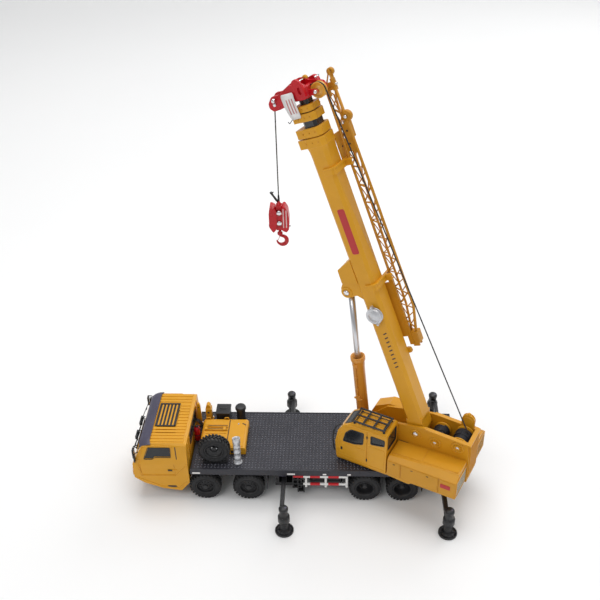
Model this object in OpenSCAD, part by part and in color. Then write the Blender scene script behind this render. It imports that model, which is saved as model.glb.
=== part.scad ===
// Truck crane, about one fiftieth scale, posed at work: outriggers out, boom raised.
// Frame: origin on the ground under the middle of the model, +X to the rear, +Z up.
// "Near" parts lie on the -Y side and "far" parts on the +Y side.

/* [Frame] */
// Distance from the origin back to the slewing axis
slew_x = 43.67; // [20:0.01:60]
// Slewing angle of the upper structure at rest, degrees, boom swung towards +Y
slew_rest = 26.8; // [0:0.1:60]
// Luffing angle of the boom at rest, degrees above level
luff_rest = 68.35; // [40:0.05:78]

/* [Carrier] */
// Height of the deck top above the ground
deck_z = 25; // [24.5:0.1:26]
// Half width of the deck
deck_hw = 27.15; // [27:0.05:28]
// Rear end of the deck, behind the slewing axis
deck_rear = 50; // [49:0.5:54]
// Front face of the carrier cab, ahead of the slewing axis
cab_front = 154; // [153:0.5:156]
// Rear wall of the carrier cab, ahead of the slewing axis
cab_back = 119.2; // [118.8:0.1:119.6]
// Roof height of the carrier cab
cab_top = 44; // [43:0.1:45]
// Engine hood height above the deck
hood_h = 6; // [5:0.5:8]

/* [Wheels] */
// Tyre radius
tyre_r = 10.2; // [10:0.05:10.3]
// Half width over the tyres
track_hw = 27.93; // [27.6:0.01:28.2]
// Rim radius
rim_r = 6; // [5.5:0.1:6.3]
// Axle shaft radius
axle_r = 1.5; // [1.2:0.1:1.8]

/* [Outriggers] */
// Half span between jack axes, extended
jack_y = 53.1; // [52:0.1:54]
// Jack housing radius
jack_r = 3.1; // [2.9:0.1:3.3]
// Jack leg radius
leg_r = 1.9; // [1.6:0.1:2.1]
// Foot pad radius
pad_r = 4.8; // [4:0.1:5]

/* [Upper structure] */
// Height of the boom foot pin
pivot_z = 51.2; // [50.5:0.1:52]
// Distance of the boom foot pin behind the slewing axis
pivot_x = 29; // [28:0.1:30]
// Inner face of each side plate from the centreline
plate_in = 6.7; // [6.6:0.05:7]
// Side plate thickness
plate_t = 1.6; // [1.4:0.1:2]
// Boom foot pin radius
pin_r = 1.8; // [1.6:0.1:2]

/* [Boom] */
// Width of the base section
boom_w = 12.6; // [12.2:0.1:12.8]
// Depth of the base section
boom_h = 11; // [10.6:0.1:11.4]
// Decrease of width and depth from one section to the next
boom_step = 1.4; // [1.3:0.05:1.5]
// Wall thickness of a section
boom_wall = 0.55; // [0.5:0.01:0.58]
// Length of the base section from its foot pin
boom_len = 191; // [190:0.5:192]

/* [Winches] */
// Rope radius
rope_r = 0.5; // [0.4:0.05:0.6]
// Main drum core radius
drum_r = 4; // [3.6:0.1:4.1]

/* [Hidden] */
$fn = 48;
gap = 0.05; // running clearance

// Carrier, x from the slewing axis
axles = [-109.5, -81.7, -8.05, 15.54];
outrigger_x = [-57.86, 41.8];
beam_offset = 2.35; // each beam lies this far off the middle of its box
front_tyre_w = 6.2;
rear_tyre_w = 5.6;
deck_front = -118;
cab_hw = 27;
cab_wall = 1.2;
hood_top = deck_z + hood_h;
spare_x = -102.9;
spare_y = -23.4;
spare_z = deck_z + tyre_r + 0.1;

// Upper structure, [x, z] from the slewing axis and the ground
plate_out = plate_in + plate_t;
floor_z = 28.4;
cover_hw = 25.8;
main_drum_at = [55.9, 51.3];
aux_drum_at = [41.7, 49.3];
drum_shaft_r = 1.2;
drum_hw = 6.2;
op_cab_wall = 1.1;

// Lift cylinder: [x, y, z] in the upper structure
lift_foot = [-8.6, 0, 33];
lift_span = [-11.3, 0, 104.8];
lift_len = 105.4;
lift_rod_r = 1.9;
lift_pin_r = 1.3;

// Boom: [distance along it from the foot pin, height across it]
boom_mid = 1.2; // centre of the sections above the foot pin line
lift_eye_at = [98.5, -13.5];
head_sheave_at = [213.5, 11];
nose_sheave_at = [212.5, -15.6];
head_u = 211.85; // inner end of the boom head
jib_hinge_u = 212.6;
jib_start = 60;

// Rope fall and hook, in the upper structure
fall_x = -66.7;
fall_z = 242.9;

// ---------- shapes ----------
// box from its limits on each axis
module box(x0, x1, y0, y1, z0, z1)
  translate([x0, y0, z0]) cube([x1 - x0, y1 - y0, z1 - z0]);

// [x, z] outline extruded from y0 to y1
module plate_y(points, y0, y1)
  translate([0, y1, 0]) rotate([90, 0, 0]) linear_extrude(y1 - y0) polygon(points);

// [y, z] outline extruded from x0 to x1
module plate_x(points, x0, x1)
  translate([x0, 0, 0]) rotate([90, 0, 90]) linear_extrude(x1 - x0) polygon(points);

module cyl_y(x, z, radius, y0, y1, facets = 48)
  translate([x, y1, z]) rotate([90, 0, 0]) cylinder(r = radius, h = y1 - y0, $fn = facets);

module cyl_x(y, z, radius, x0, x1)
  translate([x0, y, z]) rotate([0, 90, 0]) cylinder(r = radius, h = x1 - x0);

// The same shape on both sides, between y = inner and outer and their mirror images
module pair_box(x0, x1, inner, outer, z0, z1) {
  box(x0, x1, -outer, -inner, z0, z1);
  box(x0, x1, inner, outer, z0, z1);
}
module pair_plate(points, inner, outer) {
  plate_y(points, -outer, -inner);
  plate_y(points, inner, outer);
}
module pair_cyl(x, z, radius, inner, outer) {
  cyl_y(x, z, radius, -outer, -inner);
  cyl_y(x, z, radius, inner, outer);
}

// round bar between two points
module rod(start, end, radius, facets = 16) {
  run = end - start;
  length = norm(run);
  translate(start) rotate([0, acos(run[2] / length), atan2(run[1], run[0])])
    cylinder(r = radius, h = length, $fn = facets);
}

// ---------- frames ----------
module on_carrier() translate([slew_x, 0, 0]) children();
module on_upper() on_carrier() rotate([0, 0, -slew_rest]) children();
module on_boom()
  on_upper() translate([pivot_x, 0, pivot_z]) rotate([0, luff_rest, 0]) children();

// Boom shapes are given by u, along the boom from its foot pin, and v, across its depth.
// The boom runs along its own -X axis.
function boom_xz(points) = [for (point = points) [-point[0], point[1]]];
module boom_box(u0, u1, y0, y1, v0, v1) box(-u1, -u0, y0, y1, v0, v1);
module boom_cyl(place, radius, y0, y1) cyl_y(-place[0], place[1], radius, y0, y1);

// [u, v] on the boom to [x, z] in the upper structure
function boom_to_upper(place) = [
  pivot_x - place[0] * cos(luff_rest) + place[1] * sin(luff_rest),
  pivot_z + place[0] * sin(luff_rest) + place[1] * cos(luff_rest)];

// ---------- carrier ----------
module chassis_frame() color("#2e2d31") on_carrier() difference() {
  union() {
    box(deck_front, deck_rear - 1.2, -7, 7, 13, 20.45);
    box(-148, deck_front, -7, 7, 13, 17);
    for (x = axles) box(x - 4, x + 4, -9, 9, 6.6, 14);
    box(-74, -64, -15, 15, 9, 14.5);
    pair_box(-40, -16, 7, 16, 9.5, 17);
  }
  for (x = axles) cyl_y(x, tyre_r, axle_r + gap, -20, 20);
  for (x = outrigger_x) box(x - 5.6, x + 5.6, -20, 20, 9.95, 18.55);
}

module deck() color("#4a4a50") on_carrier() difference() {
  union() {
    box(deck_front, deck_rear, -deck_hw, deck_hw, 22, deck_z);
    // edge skirts, centre strip and rear plate
    pair_box(deck_front, deck_rear, deck_hw - 1.6, deck_hw, 20.6, 22.5);
    box(deck_front, deck_rear, -9, 9, 20.5, 22.5);
    box(deck_rear - 1.15, deck_rear, -deck_hw, deck_hw, 14, 22.5);
  }
  // hole for the slewing spigot
  translate([0, 0, 15]) cylinder(r = 6.05, h = 20);
}

// [x, z] side outline of the cab, shrunk by inset
function cab_profile(inset) = [
  [-cab_back - inset, 13.3 + inset], [-cab_back - inset, cab_top - 1 - inset],
  [-121 - inset, cab_top - inset], [-144.5 + inset, cab_top - inset],
  [-147.2 + inset, cab_top - 1.5 - inset], [-152.8 + inset, 31.5],
  [-cab_front + inset, 29], [-cab_front + inset, 17.5 + inset],
  [-148, 12.8 + inset], [-136.7, 8.1 + inset], [-125 - inset, 6.2 + inset]];

// [y, z] front outline of the cab, shrunk by inset
function cab_front_profile(inset) = [
  [-cab_hw + inset, 5], [cab_hw - inset, 5], [cab_hw - inset, 29],
  [24.9 - inset, cab_top - 1.5 - inset], [23.4 - inset, cab_top - inset],
  [-23.4 + inset, cab_top - inset], [-24.9 + inset, cab_top - 1.5 - inset],
  [-cab_hw + inset, 29]];

module cab_solid(inset) intersection() {
  plate_y(cab_profile(inset), -cab_hw, cab_hw);
  plate_x(cab_front_profile(inset), -160, -100);
}

// window openings, each narrowed by margin
module cab_windows(margin) {
  // windscreen
  translate([-152.4, 0, 31.5]) rotate([0, 26.5, 0])
    box(-3, 3, -22.2 + margin, 22.2 - margin, 0.8 + margin, 10.6 - margin);
  // door windows
  pair_plate([
    [-146.2 + margin, 33.2 + margin], [-143 + margin, 41.2 - margin],
    [-129.6 - margin, 41.2 - margin], [-129.6 - margin, 34.6 + margin],
    [-139.6, 34.6 + margin], [-141, 33.2 + margin]], 20, 30);
  // rear window
  box(-122, -117, -12 + margin, 12 - margin, 33 + margin, 40.5 - margin);
}

module carrier_cab() color("#e0a01e") on_carrier() difference() {
  union() {
    cab_solid(0);
    // front bumper lip
    box(-cab_front - 1.2, -cab_front + 0.1, -25, 25, 17.8, 21.6);
    // roof ribs
    for (y = [-22, -18.5, 18.5, 22])
      box(-142.15, -122, y - 0.35, y + 0.35, cab_top - 0.2, cab_top + 0.35);
    // short bars on the side walls
    pair_box(-130.6, -126.2, cab_hw - 0.3, cab_hw + 0.3, 23.9, 24.7);
  }
  cab_solid(cab_wall);
  cab_windows(0);
  // room for the chassis frame, then the open underside
  box(-150, -117, -7.1, 7.1, 4, 17);
  box(-150, -117, -25.8, 25.8, 4, 14);
  // roof vent recess
  box(-140.2, -127.2, -15.2, 7.2, cab_top - 0.5, cab_top + 1);
  // door gap lines
  for (x = [-127.9, -149.4]) pair_box(x, x + 0.3, cab_hw - 0.35, cab_hw + 0.35, 19.6, 29);
  pair_box(-149.4, -127.6, cab_hw - 0.35, cab_hw + 0.35, 19.3, 19.6);
}

module cab_glass() color("#2c3338") on_carrier() intersection() {
  difference() {
    cab_solid(0.25);
    cab_solid(cab_wall);
  }
  cab_windows(0.06);
}

module cab_visor() color("#4d5060") on_carrier() difference() {
  plate_y([
    [-142.2, cab_top + 0.02], [-142.2, cab_top + 1.1], [-146.5, cab_top + 0.7],
    [-150.2, 40.8], [-149.3, 40.5], [-146, cab_top - 0.6], [-144.6, cab_top + 0.02]],
    -24.6, 24.6);
  cab_solid(-0.02);
}

module cab_trim() color("#1d1d1f") on_carrier() {
  // roof vent with louvres
  difference() {
    box(-140.1, -127.3, -15.1, 7.1, cab_top - 0.48, cab_top + 0.3);
    for (i = [0:4]) {
      x = -138.8 + i * 2.2;
      box(x, x + 1.2, -14, 6, cab_top - 0.1, cab_top + 1);
    }
  }
  // wiper arms, held off the windscreen
  for (y = [-17, -3, 11]) translate([-154.3, y, 31.9]) rotate([0, 26.5, 0]) {
    rod([0, 0, 0.4], [-0.55, 5, 8.8], 0.3);
    rod([-0.75, 0.8, 8.2], [-0.65, 9.4, 8.9], 0.26);
    cyl_y(0, 0.4, 0.5, -0.6, 0.6, 24);
  }
}

// front, side and rear lamps
module lamps() color("#f3efe4") on_carrier() {
  pair_box(-cab_front - 0.8, -cab_front - 0.02, 15.8, 22.2, 23.2, 26.4);
  pair_box(-116, -109.5, 27.16, 27.44, 21.6, 22.7);
  pair_box(-64.5, -60.5, 27.16, 27.44, 21.6, 22.7);
  pair_box(deck_rear + 0.01, deck_rear + 0.8, 16, 24, 16, 19);
}

module engine_hood() color("#efb03a") on_carrier() difference() {
  union() {
    plate_y([
      [-114, deck_z], [-84, deck_z], [-84, hood_top - 1.2],
      [-85.2, hood_top], [-113, hood_top], [-114, hood_top - 1]], -13.5, 13.5);
    // bar along the top, on two blocks
    for (x = [-110.5, -99]) box(x - 0.8, x + 0.8, 1.7, 3.7, hood_top - 0.1, hood_top + 1.3);
    cyl_x(2.7, hood_top + 0.7, 0.4, -112.3, -96.6);
  }
  box(-112.8, -85.2, -12.3, 12.3, deck_z - 1, hood_top - 1.2);
  // grooves in the top
  box(-96.9, -96.5, -14, 14, hood_top - 0.4, hood_top + 1);
  box(-89, -84.8, 7, 7.8, hood_top - 0.5, hood_top + 1);
}

module exhaust_stack() color("#c9cad0") on_carrier() translate([-88.2, -20.4, deck_z])
  difference() {
    union() {
      cylinder(r = 2.15, h = 17.6);
      cylinder(r = 2.6, h = 1);
      translate([0, 0, 16.4]) cylinder(r = 2.5, h = 5.4);
    }
    translate([0, 0, 3]) cylinder(r = 1.5, h = 30);
    // slanting cut across the mouth
    translate([-4, -4, 20.2]) rotate([14, 0, 0]) cube([8, 12, 6]);
  }

// tyre about the Z axis; outline points are [radius, z]
module tyre(width) {
  half = width / 2;
  rotate_extrude($fn = 64) polygon([
    [rim_r + 0.02, -half + 0.5], [rim_r + 0.7, -half], [tyre_r - 1.7, -half],
    [tyre_r - 0.2, -half + 0.9], [tyre_r, -half + 1.6],
    [tyre_r, half - 1.6], [tyre_r - 0.2, half - 0.9],
    [tyre_r - 1.7, half], [rim_r + 0.7, half], [rim_r + 0.02, half - 0.5]]);
}

module at_spare() translate([spare_x, spare_y, spare_z]) rotate([90, 0, 0]) children();

module spare_tyre() color("#26262a") on_carrier() at_spare() tyre(front_tyre_w);

module spare_rim() color("#3a3a3f") on_carrier() {
  at_spare() {
    difference() {
      cylinder(r = rim_r, h = 5.6, center = true);
      translate([0, 0, -1]) cylinder(r = rim_r - 0.7, h = 6);
    }
    translate([0, 0, -1]) cylinder(r = 1.9, h = 1.8);
  }
  // cradle on the deck
  difference() {
    box(-110, -96, -26, -20.6, deck_z, deck_z + 3.2);
    cyl_y(spare_x, spare_z, tyre_r + 0.05, -30, -15);
  }
}

module extinguisher() color("#c81e28") on_carrier() translate([-116.7, -4, deck_z]) {
  cylinder(r = 2.1, h = 9.4);
  translate([0, 0, 9.4]) cylinder(r1 = 2.1, r2 = 0.9, h = 1.4);
  translate([0, 0, 10.8]) cylinder(r = 0.8, h = 1);
}

module rest_posts() color("#e0a01e") on_carrier() {
  // thin tapering post
  difference() {
    plate_y([
      [-118.6, deck_z], [-115.6, deck_z], [-115.9, deck_z + 16], [-116.6, deck_z + 18.6],
      [-117.6, deck_z + 18.6], [-118.3, deck_z + 16]], 14, 15.6);
    cyl_y(-117.1, deck_z + 16, 0.5, 10, 20);
  }
  // stepped block post
  difference() {
    union() {
      box(-113.3, -109.3, 16.9, 21.5, deck_z, deck_z + 11.4);
      box(-112.6, -110, 17.6, 20.8, deck_z + 11, deck_z + 14.6);
    }
    cyl_y(-111.3, deck_z + 11.4, 0.8, 10, 30);
  }
}

module deck_units() color("#2b2b30") on_carrier() {
  // battery box with lid
  box(-106, -97.2, 15.6, 24.6, deck_z, deck_z + 8.2);
  box(-106.4, -96.8, 15.2, 25, deck_z + 8.2, deck_z + 9.4);
  // air cleaner
  translate([-90, 20, deck_z]) {
    cylinder(r = 2.9, h = 9.4);
    translate([0, 0, 9.4]) cylinder(r = 3.5, h = 2.4);
  }
  // under the deck: fuel tank on the far side, air tank on the near side
  box(-44, -20, 17, 25.5, 9, 20.4);
  cyl_x(-20.6, 13.4, 4.2, -43, -22);
}

module mudguards() color("#232326") on_carrier() {
  for (x = [axles[0] + 0.6, axles[1]]) pair_box(x - 9.6, x + 10.8, 16, 25.4, 20.75, 22);
  pair_box(axles[2] - 11, axles[3] + 11.6, 14.5, 25.4, 20.75, 22);
  // flaps behind the last axle
  pair_box(axles[3] + 11.8, axles[3] + 12.6, 15, 27, 8, 20.6);
  // access steps behind the front outrigger
  for (z = [6, 11.4]) pair_box(-50.7, -46.2, 22, 26.6, z, z + 0.9);
  for (x = [-50.7, -46.9]) pair_box(x, x + 0.7, 22, 26.6, 5.4, 20.6);
}

// two rails on three posts, each side
module side_guards() color("#e9e6e2") on_carrier() {
  for (z = [18, 11.8]) pair_box(-45.8, -18.8, 26.3, 27.3, z, z + 1.6);
  for (x = [-45.8, -32.9, -20.2]) pair_box(x, x + 1.4, 25.6, 26.5, 10.6, 20.6);
}

module outrigger_boxes() color("#29292c") on_carrier() for (x = outrigger_x) {
  difference() {
    box(x - 5.5, x + 5.5, -24, 24, 10, 18.5);
    // one slot for each beam
    for (side = [-1, 1]) {
      beam_x = x + side * beam_offset;
      box(beam_x - 2.15, beam_x + 2.15, -30, 30, 11.4, 17.1);
    }
  }
  // end flanges
  difference() {
    pair_box(x - 7, x + 7, 22, 24, 8.8, 20.4);
    box(x - 5.55, x + 5.55, -30, 30, 9.95, 18.55);
  }
}

module slew_ring() color("#2b2b2e") on_carrier() difference() {
  union() {
    translate([0, 0, deck_z]) cylinder(r = 16.5, h = 0.6);
    translate([0, 0, deck_z]) cylinder(r = 15.2, h = 1.1);
  }
  translate([0, 0, deck_z - 1]) cylinder(r = 12, h = 4);
}

// ---------- wheels ----------
// place a wheel part with its +Z axis pointing outwards
module at_wheel(x, side, inset)
  translate([x, side * (track_hw - inset), tyre_r]) rotate([-side * 90, 0, 0]) children();

module wheel_bolts(ring_r, z) for (angle = [0:36:324])
  rotate([0, 0, angle]) translate([ring_r, 0, z]) cylinder(r = 0.34, h = 0.8, $fn = 16);

module front_wheel() {
  difference() {
    translate([0, 0, -2.6]) cylinder(r = rim_r, h = 5.2);
    translate([0, 0, 0.9]) cylinder(r = rim_r - 0.6, h = 4);
    translate([0, 0, -3.4]) cylinder(r = rim_r - 0.8, h = 2.4);
  }
  // hub and cap
  translate([0, 0, 0.8]) cylinder(r = 2.3, h = 1.9);
  translate([0, 0, 2.6]) cylinder(r = 1.3, h = 0.7);
  wheel_bolts(3.5, 0.8);
}

// one wide rim carries both rear tyres of a side
module rear_wheel() {
  difference() {
    translate([0, 0, -5.5]) cylinder(r = rim_r, h = 11);
    translate([0, 0, 0.6]) cylinder(r = rim_r - 0.7, h = 6);
    translate([0, 0, -6]) cylinder(r = rim_r - 0.8, h = 4);
  }
  translate([0, 0, 0.5]) cylinder(r = 2.1, h = 2.6);
  wheel_bolts(3.7, 0.5);
}

module front_axle(x) color("#36363a") on_carrier() {
  cyl_y(x, tyre_r, axle_r, -24.2, 24.2);
  for (side = [-1, 1]) at_wheel(x, side, front_tyre_w / 2) front_wheel();
}
module rear_axle(x) color("#36363a") on_carrier() {
  cyl_y(x, tyre_r, axle_r, -22, 22);
  for (side = [-1, 1]) at_wheel(x, side, 5.9) rear_wheel();
}

// tyres of one axle; insets run from the overall width in to each tyre's middle
module axle_tyres(x, width, insets) color("#26262a") on_carrier()
  for (side = [-1, 1]) for (inset = insets)
    translate([x, side * (track_hw - inset), tyre_r]) rotate([90, 0, 0]) tyre(width);
module front_tyres(x) axle_tyres(x, front_tyre_w, [front_tyre_w / 2]);
module rear_tyres(x) axle_tyres(x, rear_tyre_w, [rear_tyre_w / 2, 8.9]);

module axle_1() front_axle(axles[0]);
module axle_2() front_axle(axles[1]);
module axle_3() rear_axle(axles[2]);
module axle_4() rear_axle(axles[3]);
module tyres_1() front_tyres(axles[0]);
module tyres_2() front_tyres(axles[1]);
module tyres_3() rear_tyres(axles[2]);
module tyres_4() rear_tyres(axles[3]);

// ---------- outriggers ----------
// sliding beam with the jack housing at its end
module beam(x, side) color("#262629") on_carrier() difference() {
  beam_x = x + side * beam_offset;
  union() {
    box(beam_x - 2.1, beam_x + 2.1,
      side > 0 ? 14 : -jack_y, side > 0 ? jack_y : -14, 11.45, 17.05);
    translate([x, side * jack_y, 9.6]) cylinder(r = jack_r, h = 10.9);
    translate([x, side * jack_y, 9.6]) cylinder(r = jack_r + 1.5, h = 1.4);
    translate([x, side * jack_y, 17.1]) cylinder(r = jack_r + 0.5, h = 1);
  }
  translate([x, side * jack_y, 5]) cylinder(r = leg_r + gap, h = 15);
}

// jack leg on its foot pad
module leg(x, side) color("#262629") on_carrier() translate([x, side * jack_y, 0]) {
  cylinder(r = pad_r, h = 0.8);
  translate([0, 0, 0.8]) cylinder(r1 = pad_r, r2 = 2.6, h = 1.4);
  cylinder(r = leg_r, h = 12.6);
}

module beam_front_near() beam(outrigger_x[0], -1);
module beam_front_far() beam(outrigger_x[0], 1);
module beam_rear_near() beam(outrigger_x[1], -1);
module beam_rear_far() beam(outrigger_x[1], 1);
module leg_front_near() leg(outrigger_x[0], -1);
module leg_front_far() leg(outrigger_x[0], 1);
module leg_rear_near() leg(outrigger_x[1], -1);
module leg_rear_far() leg(outrigger_x[1], 1);

// ---------- upper structure ----------
// [x, z] outline of the two side plates
side_plate = [
  [-14, 28.2], [-14, 36.5], [-4.2, 43.2], [3.9, 51.3], [11.3, 53], [16.5, 54.4],
  [34.5, 57.6], [62, 56.3], [63.5, 42], [63.5, 28.2]];

module turntable() color("#dd9a1c") on_upper() difference() {
  union() {
    // round base, floors, side plates and rear wall
    translate([0, 0, 26.2]) cylinder(r = 18, h = 1.8);
    box(-16, 63.5, -plate_out, plate_out, 26.2, floor_z);
    box(18, 62.5, -25.6, 25.6, 27, floor_z);
    box(-16, 18, -25.6, 0, 26.6, 28);
    pair_plate(side_plate, plate_in, plate_out);
    box(62, 63.5, -plate_in - 0.5, plate_in + 0.5, 28, 56.2);
    // slewing spigot
    translate([0, 0, 20.6]) cylinder(r = 6, h = 6);
    // lug with bevelled top corners, on the far plate above the rear winch
    difference() {
      box(52.6, 60, plate_in, plate_out, 55, 65);
      for (x = [52.6, 60])
        translate([x, 0, 65]) rotate([0, 45, 0]) cube([3, 30, 3], center = true);
    }
    // winch shaft bosses
    for (place = [main_drum_at, aux_drum_at])
      pair_cyl(place[0], place[1], 2.2, plate_out - 0.1, plate_out + 0.8);
    // base bracket of the lift cylinder
    pair_box(lift_foot[0] - 3.4, lift_foot[0] + 3.4, 4.3, plate_in + 0.1, 28.2, 36.2);
  }
  cyl_y(pivot_x, pivot_z, pin_r + 0.02, -20, 20);
  for (place = [main_drum_at, aux_drum_at])
    cyl_y(place[0], place[1], drum_shaft_r + gap, -20, 20);
  cyl_y(lift_foot[0], lift_foot[2], lift_pin_r + 0.02, -20, 20);
}

module pivot_pins() color("#c8c9cc") on_upper() {
  cyl_y(pivot_x, pivot_z, pin_r, -9.4, 9.4);
  // stub pins either side of the lift cylinder eye
  cyl_y(lift_foot[0], lift_foot[2], lift_pin_r, -9.2, -3.4);
  cyl_y(lift_foot[0], lift_foot[2], lift_pin_r, 3.4, 8.28);
}

// [x, z] side outline of the operator's cab, shrunk by inset
function op_cab_profile(inset) = [
  [-16.2 + inset, 28.05 + inset], [17.6 - inset, 28.05 + inset], [17.6 - inset, 57.6 - inset],
  [16.6, 58.6 - inset], [-5.5, 58.6 - inset], [-11.6 + inset, 55 - inset * 0.6],
  [-15 + inset, 49.8], [-17 + inset, 40]];

// [y, z] front outline, shrunk by inset
function op_cab_front(inset) = [
  [-25.8 + inset, 27], [-9.4 - inset, 27], [-9.4 - inset, 57.5 - inset],
  [-10.6 - inset, 59], [-24.6 + inset, 59], [-25.8 + inset, 56.8 - inset]];

module op_cab_solid(inset) intersection() {
  plate_y(op_cab_profile(inset), -26, -8);
  plate_x(op_cab_front(inset), -30, 30);
}

// window openings, each narrowed by margin
module op_cab_windows(margin) {
  // near side, front and rear
  plate_y([
    [-11.2 + margin, 42.6 + margin], [-9.6 + margin, 49.6], [-6 + margin, 53.6 - margin],
    [2.2 - margin, 54 - margin], [1.8 - margin, 45 + margin], [-4, 43 + margin]], -30, -22);
  plate_y([
    [7.4 + margin, 47.6 + margin], [7.4 + margin, 53.8 - margin],
    [16 - margin, 53.8 - margin], [16 - margin, 49.4 + margin]], -30, -22);
  // side facing the boom
  plate_y([
    [-9 + margin, 42.6 + margin], [-7 + margin, 53.6 - margin],
    [14 - margin, 54 - margin], [14 - margin, 43 + margin]], -12, -5);
  // front, then rear wall
  box(-20, -10, -24.2 + margin, -11 - margin, 36 + margin, 49.2 - margin);
  box(15, 20, -23.6 + margin, -11.6 - margin, 45 + margin, 55.5 - margin);
}

module operator_cab() color("#e0a01e") on_upper() difference() {
  op_cab_solid(0);
  op_cab_solid(op_cab_wall);
  op_cab_windows(0);
  // upright groove in the near wall
  box(4.6, 4.9, -26, -25.45, 31, 56);
}

module operator_glass() color("#2c3338") on_upper() intersection() {
  difference() {
    op_cab_solid(0.25);
    op_cab_solid(op_cab_wall);
  }
  op_cab_windows(0.06);
}

module cab_rails() color("#141416") on_upper() {
  // roof guard: bar frame on four feet
  for (x = [-6, 1.2, 8.4, 15.6]) box(x - 0.45, x + 0.45, -24.6, -11, 60.2, 61);
  for (y = [-24.2, -17.8, -11.4]) box(-6.4, 16, y - 0.4, y + 0.4, 60.3, 60.9);
  for (x = [-4.5, 15]) for (y = [-24.2, -11.4])
    box(x - 0.35, x + 0.35, y - 0.35, y + 0.35, 58.6, 60.5);
  // grab rail outside the front corner post
  plate_y([
    [-13.9, 54.7], [-17.8, 50.4], [-19.35, 42], [-18.2, 31.1], [-16.5, 31.1],
    [-16.5, 31.9], [-17.4, 31.9], [-18.5, 42], [-17, 50], [-13.3, 54.1]], -25, -24.2);
}

module side_covers() color("#dfa022") on_upper() {
  // hollow cover on each side, its top sloping down outwards
  difference() {
    intersection() {
      pair_plate([[18.5, floor_z + 0.05], [62.4, floor_z + 0.05], [62.4, 43.6], [18.5, 41.6]],
        plate_out + 0.02, cover_hw);
      for (side = [-1, 1]) plate_x([
        [side * cover_hw, 20], [side * 8, 20], [side * 8, 44.5],
        [side * 21.4, 43.2], [side * cover_hw, 39.8]], 10, 70);
    }
    pair_box(20, 61, 9.6, 24.6, 27, 38.4);
    for (x = [27.2, 51.5]) pair_box(x, x + 0.35, 25.4, 26, 28, 40);
  }
  // skirt under the near cover
  plate_y([
    [18.5, 26.95], [30, 25.9], [33, 25.9], [36, 28.2], [60.8, 27.2], [61.2, floor_z],
    [18.5, floor_z]], -cover_hw, -25.62);
  // hydraulic tank ahead of the far cover
  difference() {
    plate_y([[-9.4, 28.42], [-9.4, 38], [-5.5, 47], [4.5, 52.4], [18.3, 52.8], [18.3, 28.42]],
      plate_out + 0.02, 16.5);
    box(-8, 17, 9.5, 15.3, 27, 37);
  }
}

module rear_grille() color("#3a352c") on_upper() {
  pair_box(62.42, 63.2, 9, 24.6, 28.6, 39.5);
  for (i = [0:4]) pair_box(63.1, 63.8, 9.4, 24.2, 29.4 + i * 2.1, 30.5 + i * 2.1);
}

module counterweight() color("#8a8579") on_upper()
  box(46, 61.8, -plate_in + 0.1, plate_in - 0.1, floor_z + 0.05, 44.6);

module drum(place, core_r, flange_r) on_upper() {
  cyl_y(place[0], place[1], core_r, -drum_hw, drum_hw);
  pair_cyl(place[0], place[1], flange_r, drum_hw - 0.9, drum_hw);
  cyl_y(place[0], place[1], drum_shaft_r, -9, 9);
}
module main_drum() color("#d79b28") drum(main_drum_at, drum_r, 5.8);
module aux_drum() color("#d79b28") drum(aux_drum_at, 3.3, 5);

// ---------- boom ----------
// [y, v] outline of a boom section: a rectangle with bevelled corners
function section_outline(width, depth, bevel) = [
  [-width / 2, -depth / 2 + bevel * 0.9], [-width / 2 + bevel * 0.7, -depth / 2],
  [width / 2 - bevel * 0.7, -depth / 2], [width / 2, -depth / 2 + bevel * 0.9],
  [width / 2, depth / 2 - bevel], [width / 2 - bevel, depth / 2],
  [-width / 2 + bevel, depth / 2], [-width / 2, depth / 2 - bevel]];

module section_solid(width, depth, bevel, u0, u1)
  translate([-u1, 0, boom_mid]) plate_x(section_outline(width, depth, bevel), 0, u1 - u0);

module section_tube(width, depth, bevel, u0, u1) difference() {
  section_solid(width, depth, bevel, u0, u1);
  section_solid(width - 2 * boom_wall, depth - 2 * boom_wall, bevel - 0.2, u0 - 1, u1 + 1);
}

// band around a section, with a deeper foot below; the bore is given by its width and depth
module collar(width, depth, u0, u1, bore_w, bore_h, foot) difference() {
  union() {
    section_solid(width, depth, 2, u0, u1);
    translate([-u1, 0, boom_mid]) plate_x([
      [-width / 2 + 0.2, -1], [width / 2 - 0.2, -1],
      [width / 2 - 0.6, -depth / 2 - foot], [-width / 2 + 0.6, -depth / 2 - foot]], 0, u1 - u0);
  }
  section_solid(bore_w, bore_h, 1.2, u0 - 1, u1 + 1);
}

// [u, v] outlines on the base section
foot_outline = [
  [9.2, -4.2], [9.2, 6.5], [6, 5.6], [0, 5.2], [-4, 3.4],
  [-5.2, 0], [-4, -3.4], [0, -5], [4, -5]];
clevis_outline = [
  [118.4, -4.2], [113.2, -14], [104.4, -14.3], [101.6, -16.4], [98.5, -17.1],
  [95.6, -15.9], [94.9, -12.5], [95.8, -7.5], [93, -4.2]];
clevis_web = [[118.4, -4.2], [113.2, -14], [108, -14.17], [108, -4.2]];

module boom_base() color("#dfa022") on_boom() difference() {
  union() {
    section_tube(boom_w, boom_h, 1.8, 9, 187);
    collar(13.8, 12.6, 186, boom_len, boom_w - 2 * boom_wall, boom_h - 2 * boom_wall, 3.4);
    // closed foot on the pin
    plate_y(boom_xz(foot_outline), -6.2, 6.2);
    // lift cylinder clevis under the boom
    pair_plate(boom_xz(clevis_outline), 3.3, 5.2);
    plate_y(boom_xz(clevis_web), -3.4, 3.4);
    pair_cyl(-lift_eye_at[0], lift_eye_at[1], 1.9, 5.1, 6);
    // jib carriers: pad on the near side, arm over the top to the far side
    for (u = [169.4, 98.4]) {
      boom_box(u, u + 4, -6.9, -6.2, 1, 5.6);
      boom_box(u, u + 4, -6.2, 12, 6.6, 7.8);
      boom_box(u, u + 4, 5.6, 6.9, 7.7, 11.6);
    }
  }
  boom_cyl([0, 0], pin_r + gap, -20, 20);
}

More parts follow.
